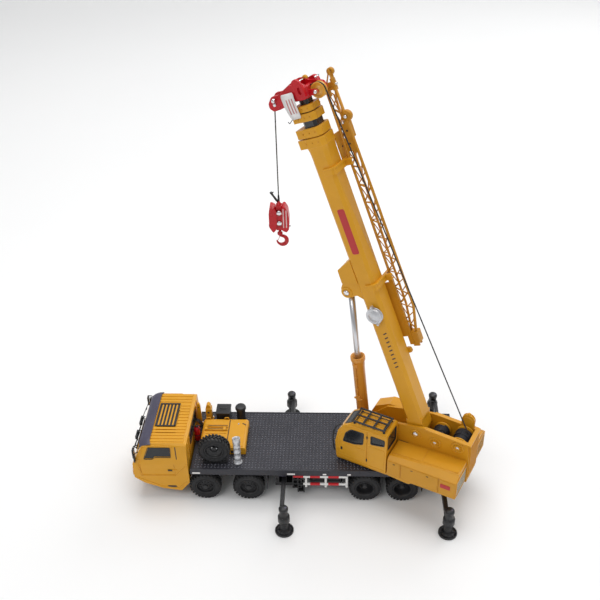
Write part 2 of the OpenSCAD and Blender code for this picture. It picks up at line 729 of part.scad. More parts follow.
// telescoping section, index steps in from the base, with a collar from collar_u to end_u
module boom_section(index, end_u, collar_u, collar_w, collar_h, foot) {
  width = boom_w - index * boom_step;
  depth = boom_h - index * boom_step;
  section_tube(width, depth, 1.8 - index * 0.15, 14 + index * 3, collar_u + 1);
  collar(collar_w, collar_h, collar_u, end_u,
    width - 2 * boom_wall, depth - 2 * boom_wall, foot);
}
module boom_section_2() color("#dfa022") on_boom() boom_section(1, 196.4, 191.6, 13.4, 12.2, 3);
module boom_section_3() color("#17181b") on_boom() boom_section(2, 204.4, 200.2, 12.8, 11.4, 2.6);
module boom_section_4() color("#dfa022") on_boom() boom_section(3, 208.4, 205, 12, 10.4, 1.6);
// the last section is solid
module boom_section_5() color("#17181b") on_boom()
  section_solid(boom_w - 4 * boom_step, boom_h - 4 * boom_step, 1.1, 26.8, 211.8);

// [u, v] outlines of the head's inner and outer cheek plates
inner_cheek = [
  [head_u, -4.6], [210.4, -8], [208.6, -13], [208.4, -19], [210.6, -20.6], [214.6, -20.2],
  [217.6, -17.4], [217, -12], [219.6, -6.4], [221.6, -1.6], [221.4, 2.4], [219, 4.8],
  [218.6, 9], [216.6, 13.6], [212.6, 14], [210.4, 11], [211.2, 7], [head_u, 6.2]];
outer_cheek = [
  [head_u, -4.6], [217.6, -6], [221.6, -1.6], [221.4, 2.4], [217.6, 6.4], [head_u, 6.4]];

module boom_head() color("#b3141f") on_boom() difference() {
  union() {
    // block beyond the tip of the last section
    boom_box(head_u, 217.6, -6, 6, -4.6, 6.4);
    pair_plate(boom_xz(inner_cheek), 2.3, 3.9);
    pair_plate(boom_xz(outer_cheek), 4.9, 6.2);
    // jib lug and pin on the far side
    boom_box(210.6, 215, 3.9, 11.2, 6.2, 8.5);
    translate([-jib_hinge_u, 9.4, 8.4]) cylinder(r = 0.8, h = 8);
    // sheave pins
    for (place = [head_sheave_at, nose_sheave_at]) boom_cyl(place, 1, -4.6, 4.6);
  }
  // slots between the cheeks, below and at the tip
  boom_box(200, 230, -2.3, 2.3, -30, -6);
  boom_box(218, 230, -2.3, 2.3, -30, 30);
}

module sheave(place, rim, groove) {
  half = 1.6;
  on_boom() translate([-place[0], 0, place[1]]) rotate([90, 0, 0])
    rotate_extrude($fn = 64) polygon([
      [1.05, -half], [rim, -half], [rim, -half + 0.35], [groove, -0.35],
      [groove, 0.35], [rim, half - 0.35], [rim, half], [1.05, half]]);
}
module head_sheave() color("#e0a63a") sheave(head_sheave_at, 4.2, 3.3);
module nose_sheave() color("#e0a63a") sheave(nose_sheave_at, 3.2, 2.25);

// ---------- lift cylinder ----------
lift_axis = lift_span / lift_len;
lift_top = lift_foot + lift_span;
function lift_point(distance) = lift_foot + lift_axis * distance;

module lift_rod() color("#d8dade") on_upper() difference() {
  union() {
    rod(lift_top - lift_axis * 57, lift_top, lift_rod_r, 48);
    cyl_y(lift_top[0], lift_top[2], 2.5, -3.2, 3.2);
  }
  // blind pin holes, one in each end of the eye
  pair_cyl(lift_top[0], lift_top[2], lift_pin_r, 2.6, 10);
}

module lift_barrel() color("#dfa022") on_upper() difference() {
  union() {
    rod(lift_point(1), lift_point(56.8), 3.8, 48);
    rod(lift_point(54.4), lift_point(57.4), 4.5, 48);
    cyl_y(lift_foot[0], lift_foot[2], 3.6, -3.2, 3.2);
  }
  rod(lift_point(4), lift_point(70), lift_rod_r + gap, 48);
  cyl_y(lift_foot[0], lift_foot[2], lift_pin_r, -10, 10);
}

// ---------- boom fittings ----------
// stepped reel on the near side; rows are [radius, y0, y1]
module cable_reel() color("#cfd0d2") on_boom()
  for (step = [[4.8, -7.6, -7], [3.6, -9, -7.6], [4.8, -9.6, -9], [0.8, -7, -6.35]])
    boom_cyl([83, 0.6], step[0], step[1], step[2]);

// Jib chords on the far side of the boom: points by fraction t of the length.
// The upper and outer chords spread away from the base chord over the first eighth.
function chord_x(end_u, t) = -(jib_start + (end_u - jib_start) * t);
function spread(t) = min(1, t * 8);
function base_chord(t) = [chord_x(211, t), 8.6, 9.5];
function upper_chord(t) = [chord_x(214, t), 8.9, 13 + 4.4 * spread(t)];
function outer_chord(t) = [chord_x(206, t), 10.5 + 4 * spread(t), 9.7];

module jib() color("#cf8a1a") on_boom() difference() {
  union() {
    rod(base_chord(0), base_chord(1), 0.75, 8);
    rod(upper_chord(0.125), upper_chord(1.045), 0.8, 8);
    rod(upper_chord(0), upper_chord(0.13), 0.78, 8);
    rod(outer_chord(0.125), outer_chord(1), 0.68, 8);
    rod(outer_chord(0), outer_chord(0.13), 0.66, 8);
    // lattice bars
    bays = 14;
    for (i = [1:bays]) {
      lean = i % 2 == 0 ? 0.6 : -0.6;
      rod(base_chord(i / bays), upper_chord((i + lean) / bays), 0.42, 4);
      rod(base_chord(i / bays), outer_chord(i / bays), 0.38, 4);
      rod(upper_chord(i / bays), outer_chord((i - 0.5) / bays), 0.36, 4);
    }
    // block at the low end
    boom_box(57, 62, 8, 12.6, 8.85, 14.4);
    // flat runner along the low end
    boom_box(53.5, 97.9, 7.1, 11.4, 8, 8.9);
    // hinge barrel at the head
    translate([-jib_hinge_u, 9.4, 8.7]) cylinder(r = 1.5, h = 7.6);
    boom_box(jib_hinge_u - 6, jib_hinge_u - 1, 8.2, 10.6, 9, 10.6);
    boom_box(jib_hinge_u - 3, jib_hinge_u + 3, 8.3, 10.5, 15.6, 18);
    // eye at the head end
    translate([-219, 9.4, 17.8]) rotate([90, 0, 0])
      translate([0, 0, -1]) cylinder(r = 1.9, h = 2);
    // solid box and round lug part way down
    boom_box(182.8, 192.6, 8.2, 12.4, 11.8, 17.8);
    translate([-195, 9.6, 17.6]) rotate([90, 0, 0])
      translate([0, 0, -1.2]) cylinder(r = 3, h = 2.4);
  }
  translate([-jib_hinge_u, 9.4, 0]) cylinder(r = 0.85, h = 30);
  translate([-219, 9.4, 17.8]) rotate([90, 0, 0]) cylinder(r = 1, h = 9, center = true);
}

// ---------- ropes and hook ----------
// rear of the main drum up to the head sheave, offset squarely from both centres
module hoist_rope() color("#1c1c1f") on_upper() {
  sheave_at = boom_to_upper(head_sheave_at);
  run = sheave_at - main_drum_at;
  normal = [run[1], -run[0]] / norm(run);
  start = main_drum_at + normal * (drum_r + 0.6);
  end = sheave_at + normal * 3.9;
  rod([start[0], 1.2, start[1]], [end[0], 0, end[1]], rope_r, 24);
}

module fall_rope() color("#1c1c1f") on_upper()
  rod([fall_x, 0, 188], [fall_x, 0, fall_z], rope_r, 24);

// under the rope fall, turned back square to the carrier
module at_fall() on_upper() translate([fall_x, 0, 0]) rotate([0, 0, slew_rest]) children();

module hook_block() color("#c2181f") at_fall() difference() {
  union() {
    translate([0, 0, 182.2]) cylinder(r = 2, h = 5.7);
    translate([0, 0, 181]) cylinder(r1 = 2.6, r2 = 2, h = 1.3);
    // front and rear weights, each with its lower outer corner pushed out
    for (side = [-1, 1]) translate([side * 3.3, 0, 0]) plate_y([
      [side < 0 ? -2.4 : -1.6, 167.4], [-1.2, 165], [1.8, 165],
      [side > 0 ? 2.7 : 2.3, 168.6], [2.3, 178], [0.6, 181.6], [-1.4, 181.6],
      [-2.2, 177.6]], -3.6, 3.6);
    box(-3.4, 3.4, -2.6, 2.6, 170, 181.4);
    box(-3, 3, -1.7, 1.7, 165.4, 170.2);
  }
  translate([0, 0, 160]) cylinder(r = 0.85, h = 7.5);
}

module hook() color("#b3141f") at_fall() {
  translate([0, 0, 162]) cylinder(r = 0.8, h = 5);
  translate([0, 0, 161.6]) cylinder(r = 1.5, h = 1.6);
  // hook bowl
  translate([1.2, 0, 158.6]) rotate([90, 0, 0])
    rotate_extrude(angle = 250, start = 125, $fn = 48)
      translate([3, 0]) circle(r = 0.95, $fn = 24);
}

chassis_frame();
deck();
carrier_cab();
cab_glass();
cab_visor();
cab_trim();
lamps();
engine_hood();
exhaust_stack();
spare_tyre();
spare_rim();
extinguisher();
rest_posts();
deck_units();
mudguards();
side_guards();
outrigger_boxes();
slew_ring();
axle_1();
tyres_1();
axle_2();
tyres_2();
axle_3();
tyres_3();
axle_4();
tyres_4();
beam_front_near();
leg_front_near();
beam_front_far();
leg_front_far();
beam_rear_near();
leg_rear_near();
beam_rear_far();
leg_rear_far();
turntable();
operator_cab();
operator_glass();
cab_rails();
side_covers();
rear_grille();
counterweight();
pivot_pins();
main_drum();
aux_drum();
boom_base();
boom_section_2();
boom_section_3();
boom_section_4();
boom_section_5();
boom_head();
head_sheave();
nose_sheave();
lift_barrel();
lift_rod();
cable_reel();
jib();
hoist_rope();
fall_rope();
hook_block();
hook();
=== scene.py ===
import random
from math import asin, atan2, cos, pi, radians, sin

import bmesh
import bpy
from mathutils import Matrix, Vector


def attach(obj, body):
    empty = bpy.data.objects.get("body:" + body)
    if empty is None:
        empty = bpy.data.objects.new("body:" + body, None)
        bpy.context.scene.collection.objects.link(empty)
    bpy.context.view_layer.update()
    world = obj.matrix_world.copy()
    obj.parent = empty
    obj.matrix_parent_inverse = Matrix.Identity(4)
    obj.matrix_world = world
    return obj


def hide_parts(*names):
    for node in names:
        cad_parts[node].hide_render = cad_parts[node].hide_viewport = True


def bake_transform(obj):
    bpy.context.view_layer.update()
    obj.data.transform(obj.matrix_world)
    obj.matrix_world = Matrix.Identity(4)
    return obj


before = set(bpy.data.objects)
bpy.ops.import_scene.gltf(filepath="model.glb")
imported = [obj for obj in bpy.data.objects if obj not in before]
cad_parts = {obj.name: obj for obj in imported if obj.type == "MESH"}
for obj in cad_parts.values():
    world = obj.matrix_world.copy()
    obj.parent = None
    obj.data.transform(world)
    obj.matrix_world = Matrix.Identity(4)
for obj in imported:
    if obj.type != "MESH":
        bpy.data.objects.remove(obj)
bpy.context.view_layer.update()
random.seed(7)

MM = 0.001
TIP = 0.0001             # radius that closes a turned shape on its axis
SIDES = (-1, 1)          # near, far

# ---------------------------------------------------------------- driving places and sizes
SLEW, LUFF = 26.8, 68.35             # degrees
PIVOT_X, PIVOT_Z = 29.0, 51.2        # boom foot pin, upper frame
BOOM_MID = 1.2                       # middle of the boom section above the pin line
AXLES = (-109.5, -81.7, -8.05, 15.54)
OUTRIGGERS = (-57.86, 41.8)
DECK = 25.0                          # deck height
HOOD_TOP = DECK + 6.0
WHEEL_R = 10.2                       # tyre radius and axle height
BEAD_R = 6.02
WHEEL_FACE = 27.93                   # outer face of the wheels from the middle
CAB_ROOF = 44.0
CAB_REAR = -119.2


def turn(degrees, axis):
    return Matrix.Rotation(radians(degrees), 4, axis)


CARRIER = Matrix.Translation((43.67, 0, 0))
UPPER = CARRIER @ turn(-SLEW, "Z")
BOOM = (UPPER @ Matrix.Translation((PIVOT_X, 0, PIVOT_Z)) @ turn(LUFF, "Y")
        @ Matrix.Diagonal((-1, 1, 1, 1)))
TO_BOOM = BOOM.inverted()
LIFT = (UPPER @ Matrix.Translation((-8.6, 0, 33.0))
        @ Matrix.Rotation(atan2(-11.3, 104.8), 4, "Y"))
BLOCK = UPPER @ Matrix.Translation((-66.7, 0, 0)) @ turn(SLEW, "Z")


# ---------------------------------------------------------------- materials
def new_material(name):
    """Material with a Principled shader; returns it, its tree, the shader and object coords."""
    mat = bpy.data.materials.new(name)
    mat.use_nodes = True
    tree = mat.node_tree
    tree.nodes.clear()
    output = tree.nodes.new("ShaderNodeOutputMaterial")
    shader = tree.nodes.new("ShaderNodeBsdfPrincipled")
    tree.links.new(shader.outputs[0], output.inputs[0])
    coord = tree.nodes.new("ShaderNodeTexCoord").outputs["Object"]
    return mat, tree, shader, coord


def rgba(value):
    """Opaque colour from a grey level or from red, green and blue."""
    return (value, value, value, 1) if isinstance(value, (int, float)) else (*value, 1)


def noise(tree, coord, scale, detail, rough):
    node = tree.nodes.new("ShaderNodeTexNoise")
    node.inputs["Scale"].default_value = scale
    node.inputs["Detail"].default_value = detail
    node.inputs["Roughness"].default_value = rough
    tree.links.new(coord, node.inputs["Vector"])
    return node.outputs[0]


def ramp(tree, factor, low_at, low, high_at, high):
    node = tree.nodes.new("ShaderNodeValToRGB")
    for stop, place, colour in zip(node.color_ramp.elements, (low_at, high_at), (low, high)):
        stop.position = place
        stop.color = rgba(colour)
    tree.links.new(factor, node.inputs[0])
    return node.outputs[0]


def mix(tree, factor, first, second, mode="MIX"):
    node = tree.nodes.new("ShaderNodeMix")
    node.data_type = "RGBA"
    node.blend_type = mode
    for place, value in ((0, factor), (6, first), (7, second)):
        if isinstance(value, bpy.types.NodeSocket):
            tree.links.new(value, node.inputs[place])
        else:
            node.inputs[place].default_value = value if place == 0 else rgba(value)
    return node.outputs[2]


def multiply(tree, first, second):
    return mix(tree, 1.0, first, second, "MULTIPLY")


def surface(name, base, rough=0.4, metal=0.0, coat=0.0, coat_rough=0.08, vary=0.1, grain=0.0,
            bump=0.00004, bump_scale=900, wear=None, wear_radius=0.25, spec=0.5,
            rough_vary=0.1, dust=0.0):
    """Drifting colour, uneven roughness, fine bump (metres) and worn edges (radius in mm)."""
    mat, tree, shader, coord = new_material(name)
    nodes, link = tree.nodes, tree.links.new
    dark = tuple(c * (1 - vary) for c in base)
    light = tuple(min(1.0, c * (1 + vary * 0.8)) for c in base)
    drift = noise(tree, coord, scale=42, detail=4, rough=0.6)
    colour = ramp(tree, drift, 0.34, dark, 0.66, light)
    if grain:
        fine = noise(tree, coord, scale=700, detail=3, rough=0.6)
        colour = multiply(tree, colour, ramp(tree, fine, 0.35, 1 - grain, 0.65, 1.0))
    if dust:
        # dust lies in patches on faces that look up
        split = nodes.new("ShaderNodeSeparateXYZ")
        link(nodes.new("ShaderNodeNewGeometry").outputs["Normal"], split.inputs[0])
        level = ramp(tree, split.outputs[2], 0.2, 0, 1.0, dust)
        patches = noise(tree, coord, scale=120, detail=5, rough=0.7)
        amount = multiply(tree, level, ramp(tree, patches, 0.4, 0, 0.7, 1))
        colour = mix(tree, amount, colour, (0.45, 0.42, 0.38))
    if wear is not None:
        # an edge is where the rounded normal leaves the true one
        bevel = nodes.new("ShaderNodeBevel")
        bevel.samples = 4
        bevel.inputs["Radius"].default_value = wear_radius * MM
        dot = nodes.new("ShaderNodeVectorMath")
        dot.operation = "DOT_PRODUCT"
        link(bevel.outputs[0], dot.inputs[0])
        link(nodes.new("ShaderNodeNewGeometry").outputs["Normal"], dot.inputs[1])
        edge = ramp(tree, dot.outputs["Value"], 0.80, 1, 0.985, 0)
        patches = noise(tree, coord, scale=260, detail=4, rough=0.7)
        amount = multiply(tree, edge, ramp(tree, patches, 0.42, 0, 0.62, 0.75))
        colour = mix(tree, amount, colour, wear)
    link(colour, shader.inputs["Base Color"])
    uneven = noise(tree, coord, scale=95, detail=5, rough=0.65)
    link(ramp(tree, uneven, 0.3, max(0.02, rough - rough_vary), 0.7, min(1, rough + rough_vary)),
         shader.inputs["Roughness"])
    shader.inputs["Metallic"].default_value = metal
    shader.inputs["Specular IOR Level"].default_value = spec
    shader.inputs["Coat Weight"].default_value = coat
    shader.inputs["Coat Roughness"].default_value = coat_rough
    if bump:
        relief = nodes.new("ShaderNodeBump")
        relief.inputs["Strength"].default_value = 0.35
        relief.inputs["Distance"].default_value = bump
        link(noise(tree, coord, scale=bump_scale, detail=3, rough=0.6), relief.inputs["Height"])
        link(relief.outputs[0], shader.inputs["Normal"])
    return mat


def tinted_glass():
    mat, tree, shader, coord = new_material("tinted_window")
    drift = noise(tree, coord, scale=60, detail=3, rough=0.6)
    tree.links.new(ramp(tree, drift, 0.35, (0.013, 0.015, 0.018), 0.65, (0.017, 0.020, 0.025)),
                   shader.inputs["Base Color"])
    shader.inputs["Roughness"].default_value = 0.12
    shader.inputs["Coat Weight"].default_value = 0.25
    shader.inputs["Coat Roughness"].default_value = 0.05
    shader.inputs["Specular IOR Level"].default_value = 0.35
    return mat


PAINT = dict(coat_rough=0.2, spec=0.35, bump_scale=1500)
MAT = {
    "yellow": surface(
        "paint_yellow", (0.715, 0.338, 0.012), rough=0.42, coat=0.12, vary=0.045,
        wear=(0.92, 0.60, 0.20), wear_radius=0.2, **PAINT),
    "yellow_deep": surface(
        "paint_yellow_deep", (0.64, 0.295, 0.010), rough=0.42, coat=0.1, vary=0.05,
        wear=(0.90, 0.57, 0.18), wear_radius=0.2, **PAINT),
    "jib": surface("paint_jib", (0.56, 0.243, 0.010), rough=0.45, coat=0.1, vary=0.07, **PAINT),
    "lift": surface(
        "paint_orange", (0.70, 0.285, 0.030), rough=0.38, coat=0.3, coat_rough=0.15, vary=0.06),
    "sheave": surface("sheave_yellow", (0.80, 0.40, 0.045), rough=0.35, coat=0.3, vary=0.05),
    "deck": surface(
        "tread_paint", (0.030, 0.030, 0.040), rough=0.42, metal=0.1, grain=0.10, bump=0.00005,
        wear=(0.12, 0.12, 0.14), wear_radius=0.15),
    "lozenge": surface(
        "tread_lozenge", (0.24, 0.24, 0.28), rough=0.30, metal=0.35, vary=0.12, grain=0.10,
        bump=0.00003, spec=0.6),
    "black": surface(
        "moulded_black", (0.016, 0.016, 0.018), rough=0.42, vary=0.2, grain=0.15, bump=0.00007,
        bump_scale=1800, wear=(0.09, 0.09, 0.095), wear_radius=0.2),
    "gloss_black": surface(
        "tube_black", (0.016, 0.017, 0.020), rough=0.26, coat=0.5, coat_rough=0.12, vary=0.15,
        wear=(0.10, 0.10, 0.11)),
    "ladder": surface("ladder_black", (0.012, 0.012, 0.014), vary=0.15, bump=0.00005),
    "chassis": surface(
        "cast_dark", (0.030, 0.029, 0.033), rough=0.5, vary=0.2, grain=0.2, bump=0.00012,
        bump_scale=1200, wear=(0.12, 0.12, 0.125)),
    "tyre": surface(
        "tyre_rubber", (0.020, 0.020, 0.022), rough=0.66, vary=0.22, grain=0.3, bump=0.00012,
        bump_scale=2200, dust=0.12, spec=0.4),
    "red": surface(
        "enamel_red", (0.56, 0.005, 0.013), rough=0.34, coat=0.15, spec=0.35, bump=0.00005,
        wear=(0.75, 0.14, 0.12), wear_radius=0.18),
    "red_plate": surface("plate_red", (0.50, 0.022, 0.025), rough=0.38, vary=0.08, bump=0.00003),
    "hook_red": surface(
        "enamel_hook", (0.50, 0.006, 0.012), rough=0.3, coat=0.25, spec=0.4, vary=0.12),
    "silver": surface(
        "bright_metal", (0.78, 0.78, 0.80), rough=0.20, metal=1.0, vary=0.04, bump=0.00003,
        rough_vary=0.06),
    "chrome": surface(
        "chrome_rod", (0.66, 0.67, 0.70), rough=0.30, metal=1.0, vary=0.03, bump=0.00001,
        rough_vary=0.04),
    "alu": surface(
        "sprayed_silver", (0.66, 0.67, 0.70), rough=0.34, metal=0.55, vary=0.06, grain=0.08,
        bump=0.00008, bump_scale=2200),
    "copper": surface(
        "warm_metal", (0.56, 0.32, 0.16), rough=0.35, metal=0.8, bump=0.00005),
    "white": surface("moulded_white", (0.80, 0.79, 0.77), rough=0.35, vary=0.05, bump=0.00003),
    "tag": surface("tag_white", (0.86, 0.84, 0.83), rough=0.5, vary=0.04, bump=0.00003),
    "tag_stripe": surface(
        "tag_stripe_red", (0.62, 0.26, 0.25), rough=0.6, vary=0.12, bump=0),
    "stripe_pale": surface("strip_pale", (0.74, 0.50, 0.50), bump=0),
    "grey": surface(
        "moulded_grey", (0.066, 0.062, 0.100), rough=0.38, bump=0.00005, bump_scale=1500,
        wear=(0.3, 0.3, 0.34)),
    # warm dark brown: painted shade in slots, holes and wells, and also dark printed marks
    "print_and_recess_shade": surface("print_and_painted_recess_shade", (0.060, 0.040, 0.028), rough=0.55, vary=0.15, bump=0),
    "seam": surface("seam_dark", (0.11, 0.060, 0.018), rough=0.7, vary=0.2, bump=0),
    "lens": surface(
        "lamp_lens", (0.86, 0.85, 0.82), rough=0.12, coat=1.0, coat_rough=0.03, vary=0.05,
        bump=0.0002, bump_scale=2400),
    "amber": surface(
        "lamp_amber", (0.75, 0.22, 0.02), rough=0.15, coat=1.0, vary=0.08, bump=0.0001,
        bump_scale=2000),
    "rope": surface(
        "twisted_cord", (0.028, 0.028, 0.030), rough=0.75, vary=0.25, grain=0.3, bump=0),
    "rope_light": surface(
        "twisted_cord_light", (0.10, 0.092, 0.080), rough=0.8, vary=0.25, grain=0.3, bump=0),
    "cord": surface(
        "wound_cord", (0.012, 0.013, 0.020), rough=0.55, vary=0.3, grain=0.35, bump=0.00018,
        bump_scale=2600),
    "grille": surface(
        "grille_dark", (0.016, 0.013, 0.011), rough=0.5, vary=0.2, grain=0.2, bump=0.0001),
    "slat": surface("slat_cream", (0.60, 0.52, 0.38)),
    "glass": tinted_glass(),
}


# ---------------------------------------------------------------- outlines and small helpers
def span(side, inner, outer):
    """Two distances from the middle plane, as ordered y values on one side."""
    return sorted((side * inner, side * outer))


def about(middle, half):
    return middle - half, middle + half


def angles(count, shift=0.0):
    """Even steps round a full turn, moved on by a share of one step."""
    return [2 * pi * (i + shift) / count for i in range(count)]


def facing(profile, side):
    return [(radius, side * along) for radius, along in profile]


def mirrored(half):
    """Turned profile carried on by its own mirror image."""
    return half + facing(half[::-1], -1)


def corners(points):
    """Each point with the ones before and after it."""
    count = len(points)
    for i in range(count):
        yield Vector(points[i - 1]), Vector(points[i]), Vector(points[(i + 1) % count])


def signed_area(points):
    """Twice the area; positive when the outline runs anticlockwise."""
    return sum(a[0] * b[1] - b[0] * a[1] for a, b in zip(points, points[1:] + points[:1]))


def inset(points, depth):
    """Outline moved inwards."""
    sign = 1 if signed_area(points) > 0 else -1
    moved = []
    for before, here, after in corners(points):
        edge_in, edge_out = (here - before).normalized(), (after - here).normalized()
        normal = Vector((-edge_in.y, edge_in.x)) * sign
        push = normal + Vector((-edge_out.y, edge_out.x)) * sign
        if push.length > 1e-6:
            push = push / max(0.25, push.length_squared) * 2
        else:
            push = normal
        moved.append(tuple(here + push * depth * 0.5))
    return moved


def round_poly(points, radius, steps=4):
    """Outline with its corners rounded."""
    result = []
    for before, here, after in corners(points):
        back, ahead = before - here, after - here
        start = here + back.normalized() * min(radius, back.length * 0.45)
        end = here + ahead.normalized() * min(radius, ahead.length * 0.45)
        for i in range(steps + 1):
            t = i / steps
            result.append(tuple((1 - t) ** 2 * start + 2 * (1 - t) * t * here + t * t * end))
    return result


def rect(x0, x1, y0, y1):
    return [(x0, y0), (x1, y0), (x1, y1), (x0, y1)]


def rrect(x0, x1, y0, y1, radius, steps=3):
    return round_poly(rect(x0, x1, y0, y1), radius, steps)


def cross_strip(x, y0, y1, z0, z1):
    """Rectangle standing across the x axis, one station of a swept strip."""
    return [(x, y, z) for y, z in rect(y0, y1, z0, z1)]


def spline(points, steps):
    """Smooth path through points."""
    p = [Vector(q) for q in points]
    path = []
    for i in range(len(p) - 1):
        p1, p2 = p[i], p[i + 1]
        p0 = p[i - 1] if i else p[0] * 2 - p[1]
        p3 = p[i + 2] if i + 2 < len(p) else p[-1] * 2 - p[-2]
        for k in range(steps):
            t = k / steps
            path.append(0.5 * ((2 * p1) + (p2 - p0) * t
                               + (2 * p0 - 5 * p1 + 4 * p2 - p3) * t * t
                               + (3 * p1 - p0 - 3 * p2 + p3) * t ** 3))
    path.append(p[-1])
    return path


# ---------------------------------------------------------------- mesh building
# where an outline point p lands at depth d, by the plane the outline is drawn in
PLANES = {
    "xz": lambda p, d: (p[0], d, p[1]),
    "yz": lambda p, d: (d, p[0], p[1]),
    "xy": lambda p, d: (p[0], p[1], d),
}
# axis of turning and the two directions across it
UNIT_X, UNIT_Y, UNIT_Z = Vector((1, 0, 0)), Vector((0, 1, 0)), Vector((0, 0, 1))
AXES = {
    "x": (UNIT_X, UNIT_Y, UNIT_Z),
    "y": (UNIT_Y, UNIT_Z, UNIT_X),
    "z": (UNIT_Z, UNIT_X, UNIT_Y),
}


def ease_edges(thing, width, segments, angle):
    edge = thing.modifiers.new("edge", "BEVEL")
    edge.width = width * MM
    edge.segments = segments
    edge.limit_method = "ANGLE"
    edge.angle_limit = radians(angle)
    edge.harden_normals = True


class Part:
    """Collects closed shells in millimetres in one local frame, then builds one object."""

    def __init__(self, finish, matrix=CARRIER):
        self.matrix = matrix
        self.verts, self.faces, self.smooth, self.slots = [], [], [], []
        self.finishes = []
        self.use(finish)

    def use(self, finish):
        """Sets the finish of the shells that follow."""
        if finish not in self.finishes:
            self.finishes.append(finish)
        self.slot = self.finishes.index(finish)
        return self

    def add_faces(self, start, faces, smooth=False):
        self.faces += [[i + start for i in face] for face in faces]
        self.smooth += [smooth] * len(faces)
        self.slots += [self.slot] * len(faces)

    def add(self, verts, faces, smooth=False):
        start = len(self.verts)
        self.verts += [Vector(p) for p in verts]
        self.add_faces(start, faces, smooth)

    def box(self, x0, x1, y0, y1, z0, z1, cut=0.0):
        """Box with its twelve edges cut back."""
        if cut <= 0:
            self.add([(x, y, z) for x in (x0, x1) for y in (y0, y1) for z in (z0, z1)],
                     [(0, 1, 3, 2), (4, 6, 7, 5), (0, 4, 5, 1),
                      (2, 3, 7, 6), (0, 2, 6, 4), (1, 5, 7, 3)])
            return
        bm = bmesh.new()
        bmesh.ops.create_cube(bm, size=1.0)
        for w in bm.verts:
            w.co = Vector(((x0 + x1) / 2 + w.co.x * (x1 - x0),
                           (y0 + y1) / 2 + w.co.y * (y1 - y0),
                           (z0 + z1) / 2 + w.co.z * (z1 - z0)))
        bmesh.ops.bevel(bm, geom=bm.edges[:], offset=min(cut, 0.49 * min(x1 - x0, y1 - y0, z1 - z0)),
                        segments=2, profile=0.6, affect="EDGES")
        bm.verts.index_update()
        self.add([w.co.copy() for w in bm.verts], [[w.index for w in f.verts] for f in bm.faces])
        bm.free()

    def tilted(self, centre, size, rotation, cut=0.0):
        """Box turned about its centre."""
        start = len(self.verts)
        length, width, height = size
        self.box(-length / 2, length / 2, -width / 2, width / 2, -height / 2, height / 2, cut)
        move = Matrix.Translation(centre) @ rotation
        for i in range(start, len(self.verts)):
            self.verts[i] = move @ self.verts[i]

    def slab(self, points, start, end, place, flip=False):
        """Outline carried from one depth to another; place puts a point at a depth."""
        k = len(points)
        faces = [list(range(k))[::-1], list(range(k, 2 * k))]
        faces += [(i, (i + 1) % k, (i + 1) % k + k, i + k) for i in range(k)]
        if flip:
            faces = [list(face)[::-1] for face in faces]
        self.add([place(p, start) for p in points] + [place(p, end) for p in points], faces)

    def prism(self, points, start, end, plane="xz"):
        """Slab drawn in a plane and running along the third axis."""
        if signed_area(points) < 0:
            points = points[::-1]
        self.slab(points, start, end, PLANES[plane], (plane == "xz") != (end < start))

    def frame(self, outer, inner, start, end, place):
        """Slab between two outlines of equal count; place is a plane's name or a function."""
        place = PLANES.get(place, place)
        k = len(outer)
        verts = [place(p, depth) for line, depth in
                 ((outer, start), (outer, end), (inner, end), (inner, start)) for p in line]
        faces = []
        for i in range(k):
            j = (i + 1) % k
            for a, b in ((0, 1), (1, 2), (2, 3), (3, 0)):
                faces.append((a * k + i, a * k + j, b * k + j, b * k + i))
        self.add(verts, faces)

    def sweep(self, rings, cap=True, loop=False, smooth=True):
        """Joins vertex rings of equal length into a skin."""
        k, count = len(rings[0]), len(rings)
        start = len(self.verts)
        faces = []
        for j in range(count if loop else count - 1):
            a, b = j * k, ((j + 1) % count) * k
            for i in range(k):
                faces.append((a + i, a + (i + 1) % k, b + (i + 1) % k, b + i))
        self.add([p for ring in rings for p in ring], faces, smooth)
        if cap and not loop:
            last = (count - 1) * k
            self.add_faces(start, [list(range(k))[::-1], list(range(last, last + k))])

    def tube(self, path, radius, seg, radii=None):
        """Round bar along a path; radii gives a radius for each point."""
        pts = [Vector(p) for p in path]
        rings = []
        across = None
        for i, p in enumerate(pts):
            if i == 0:
                ahead = (pts[1] - pts[0]).normalized()
            elif i == len(pts) - 1:
                ahead = (pts[-1] - pts[-2]).normalized()
            else:
                ahead = ((pts[i + 1] - p).normalized() + (p - pts[i - 1]).normalized()).normalized()
            if across is None:
                across = ahead.cross(UNIT_Z)
                if across.length < 1e-3:
                    across = ahead.cross(UNIT_X)
                across.normalize()
            else:
                across = (across - ahead * across.dot(ahead)).normalized()
            other = ahead.cross(across)
            size = radii[i] if radii else radius
            rings.append([p + (across * cos(w) + other * sin(w)) * size for w in angles(seg)])
        self.sweep(rings)

    def lathe(self, profile, centre, axis, seg, smooth=True, cap=True):
        """Turned shape: profile is (radius, along) from one end to the other."""
        centre = Vector(centre)
        along, first, second = AXES[axis]
        self.sweep([[centre + along * h + (first * cos(w) + second * sin(w)) * r
                     for w in angles(seg)] for r, h in profile], cap, False, smooth)

    def hoop(self, profile, centre, axis, seg):
        """Closed turned ring: profile is a closed outline of (radius, along)."""
        centre = Vector(centre)
        along, first, second = AXES[axis]
        rings = []
        for w in angles(seg):
            out = first * cos(w) + second * sin(w)
            rings.append([centre + along * h + out * r for r, h in profile])
        self.sweep(rings, loop=True)

    def bolt(self, centre, axis, radius, height):
        """Six-sided head with a chamfered top; height is signed along the axis."""
        self.lathe([(radius, -0.15 if height > 0 else 0.15), (radius, height * 0.72),
                    (radius * 0.74, height)], centre, axis, 6, smooth=False)

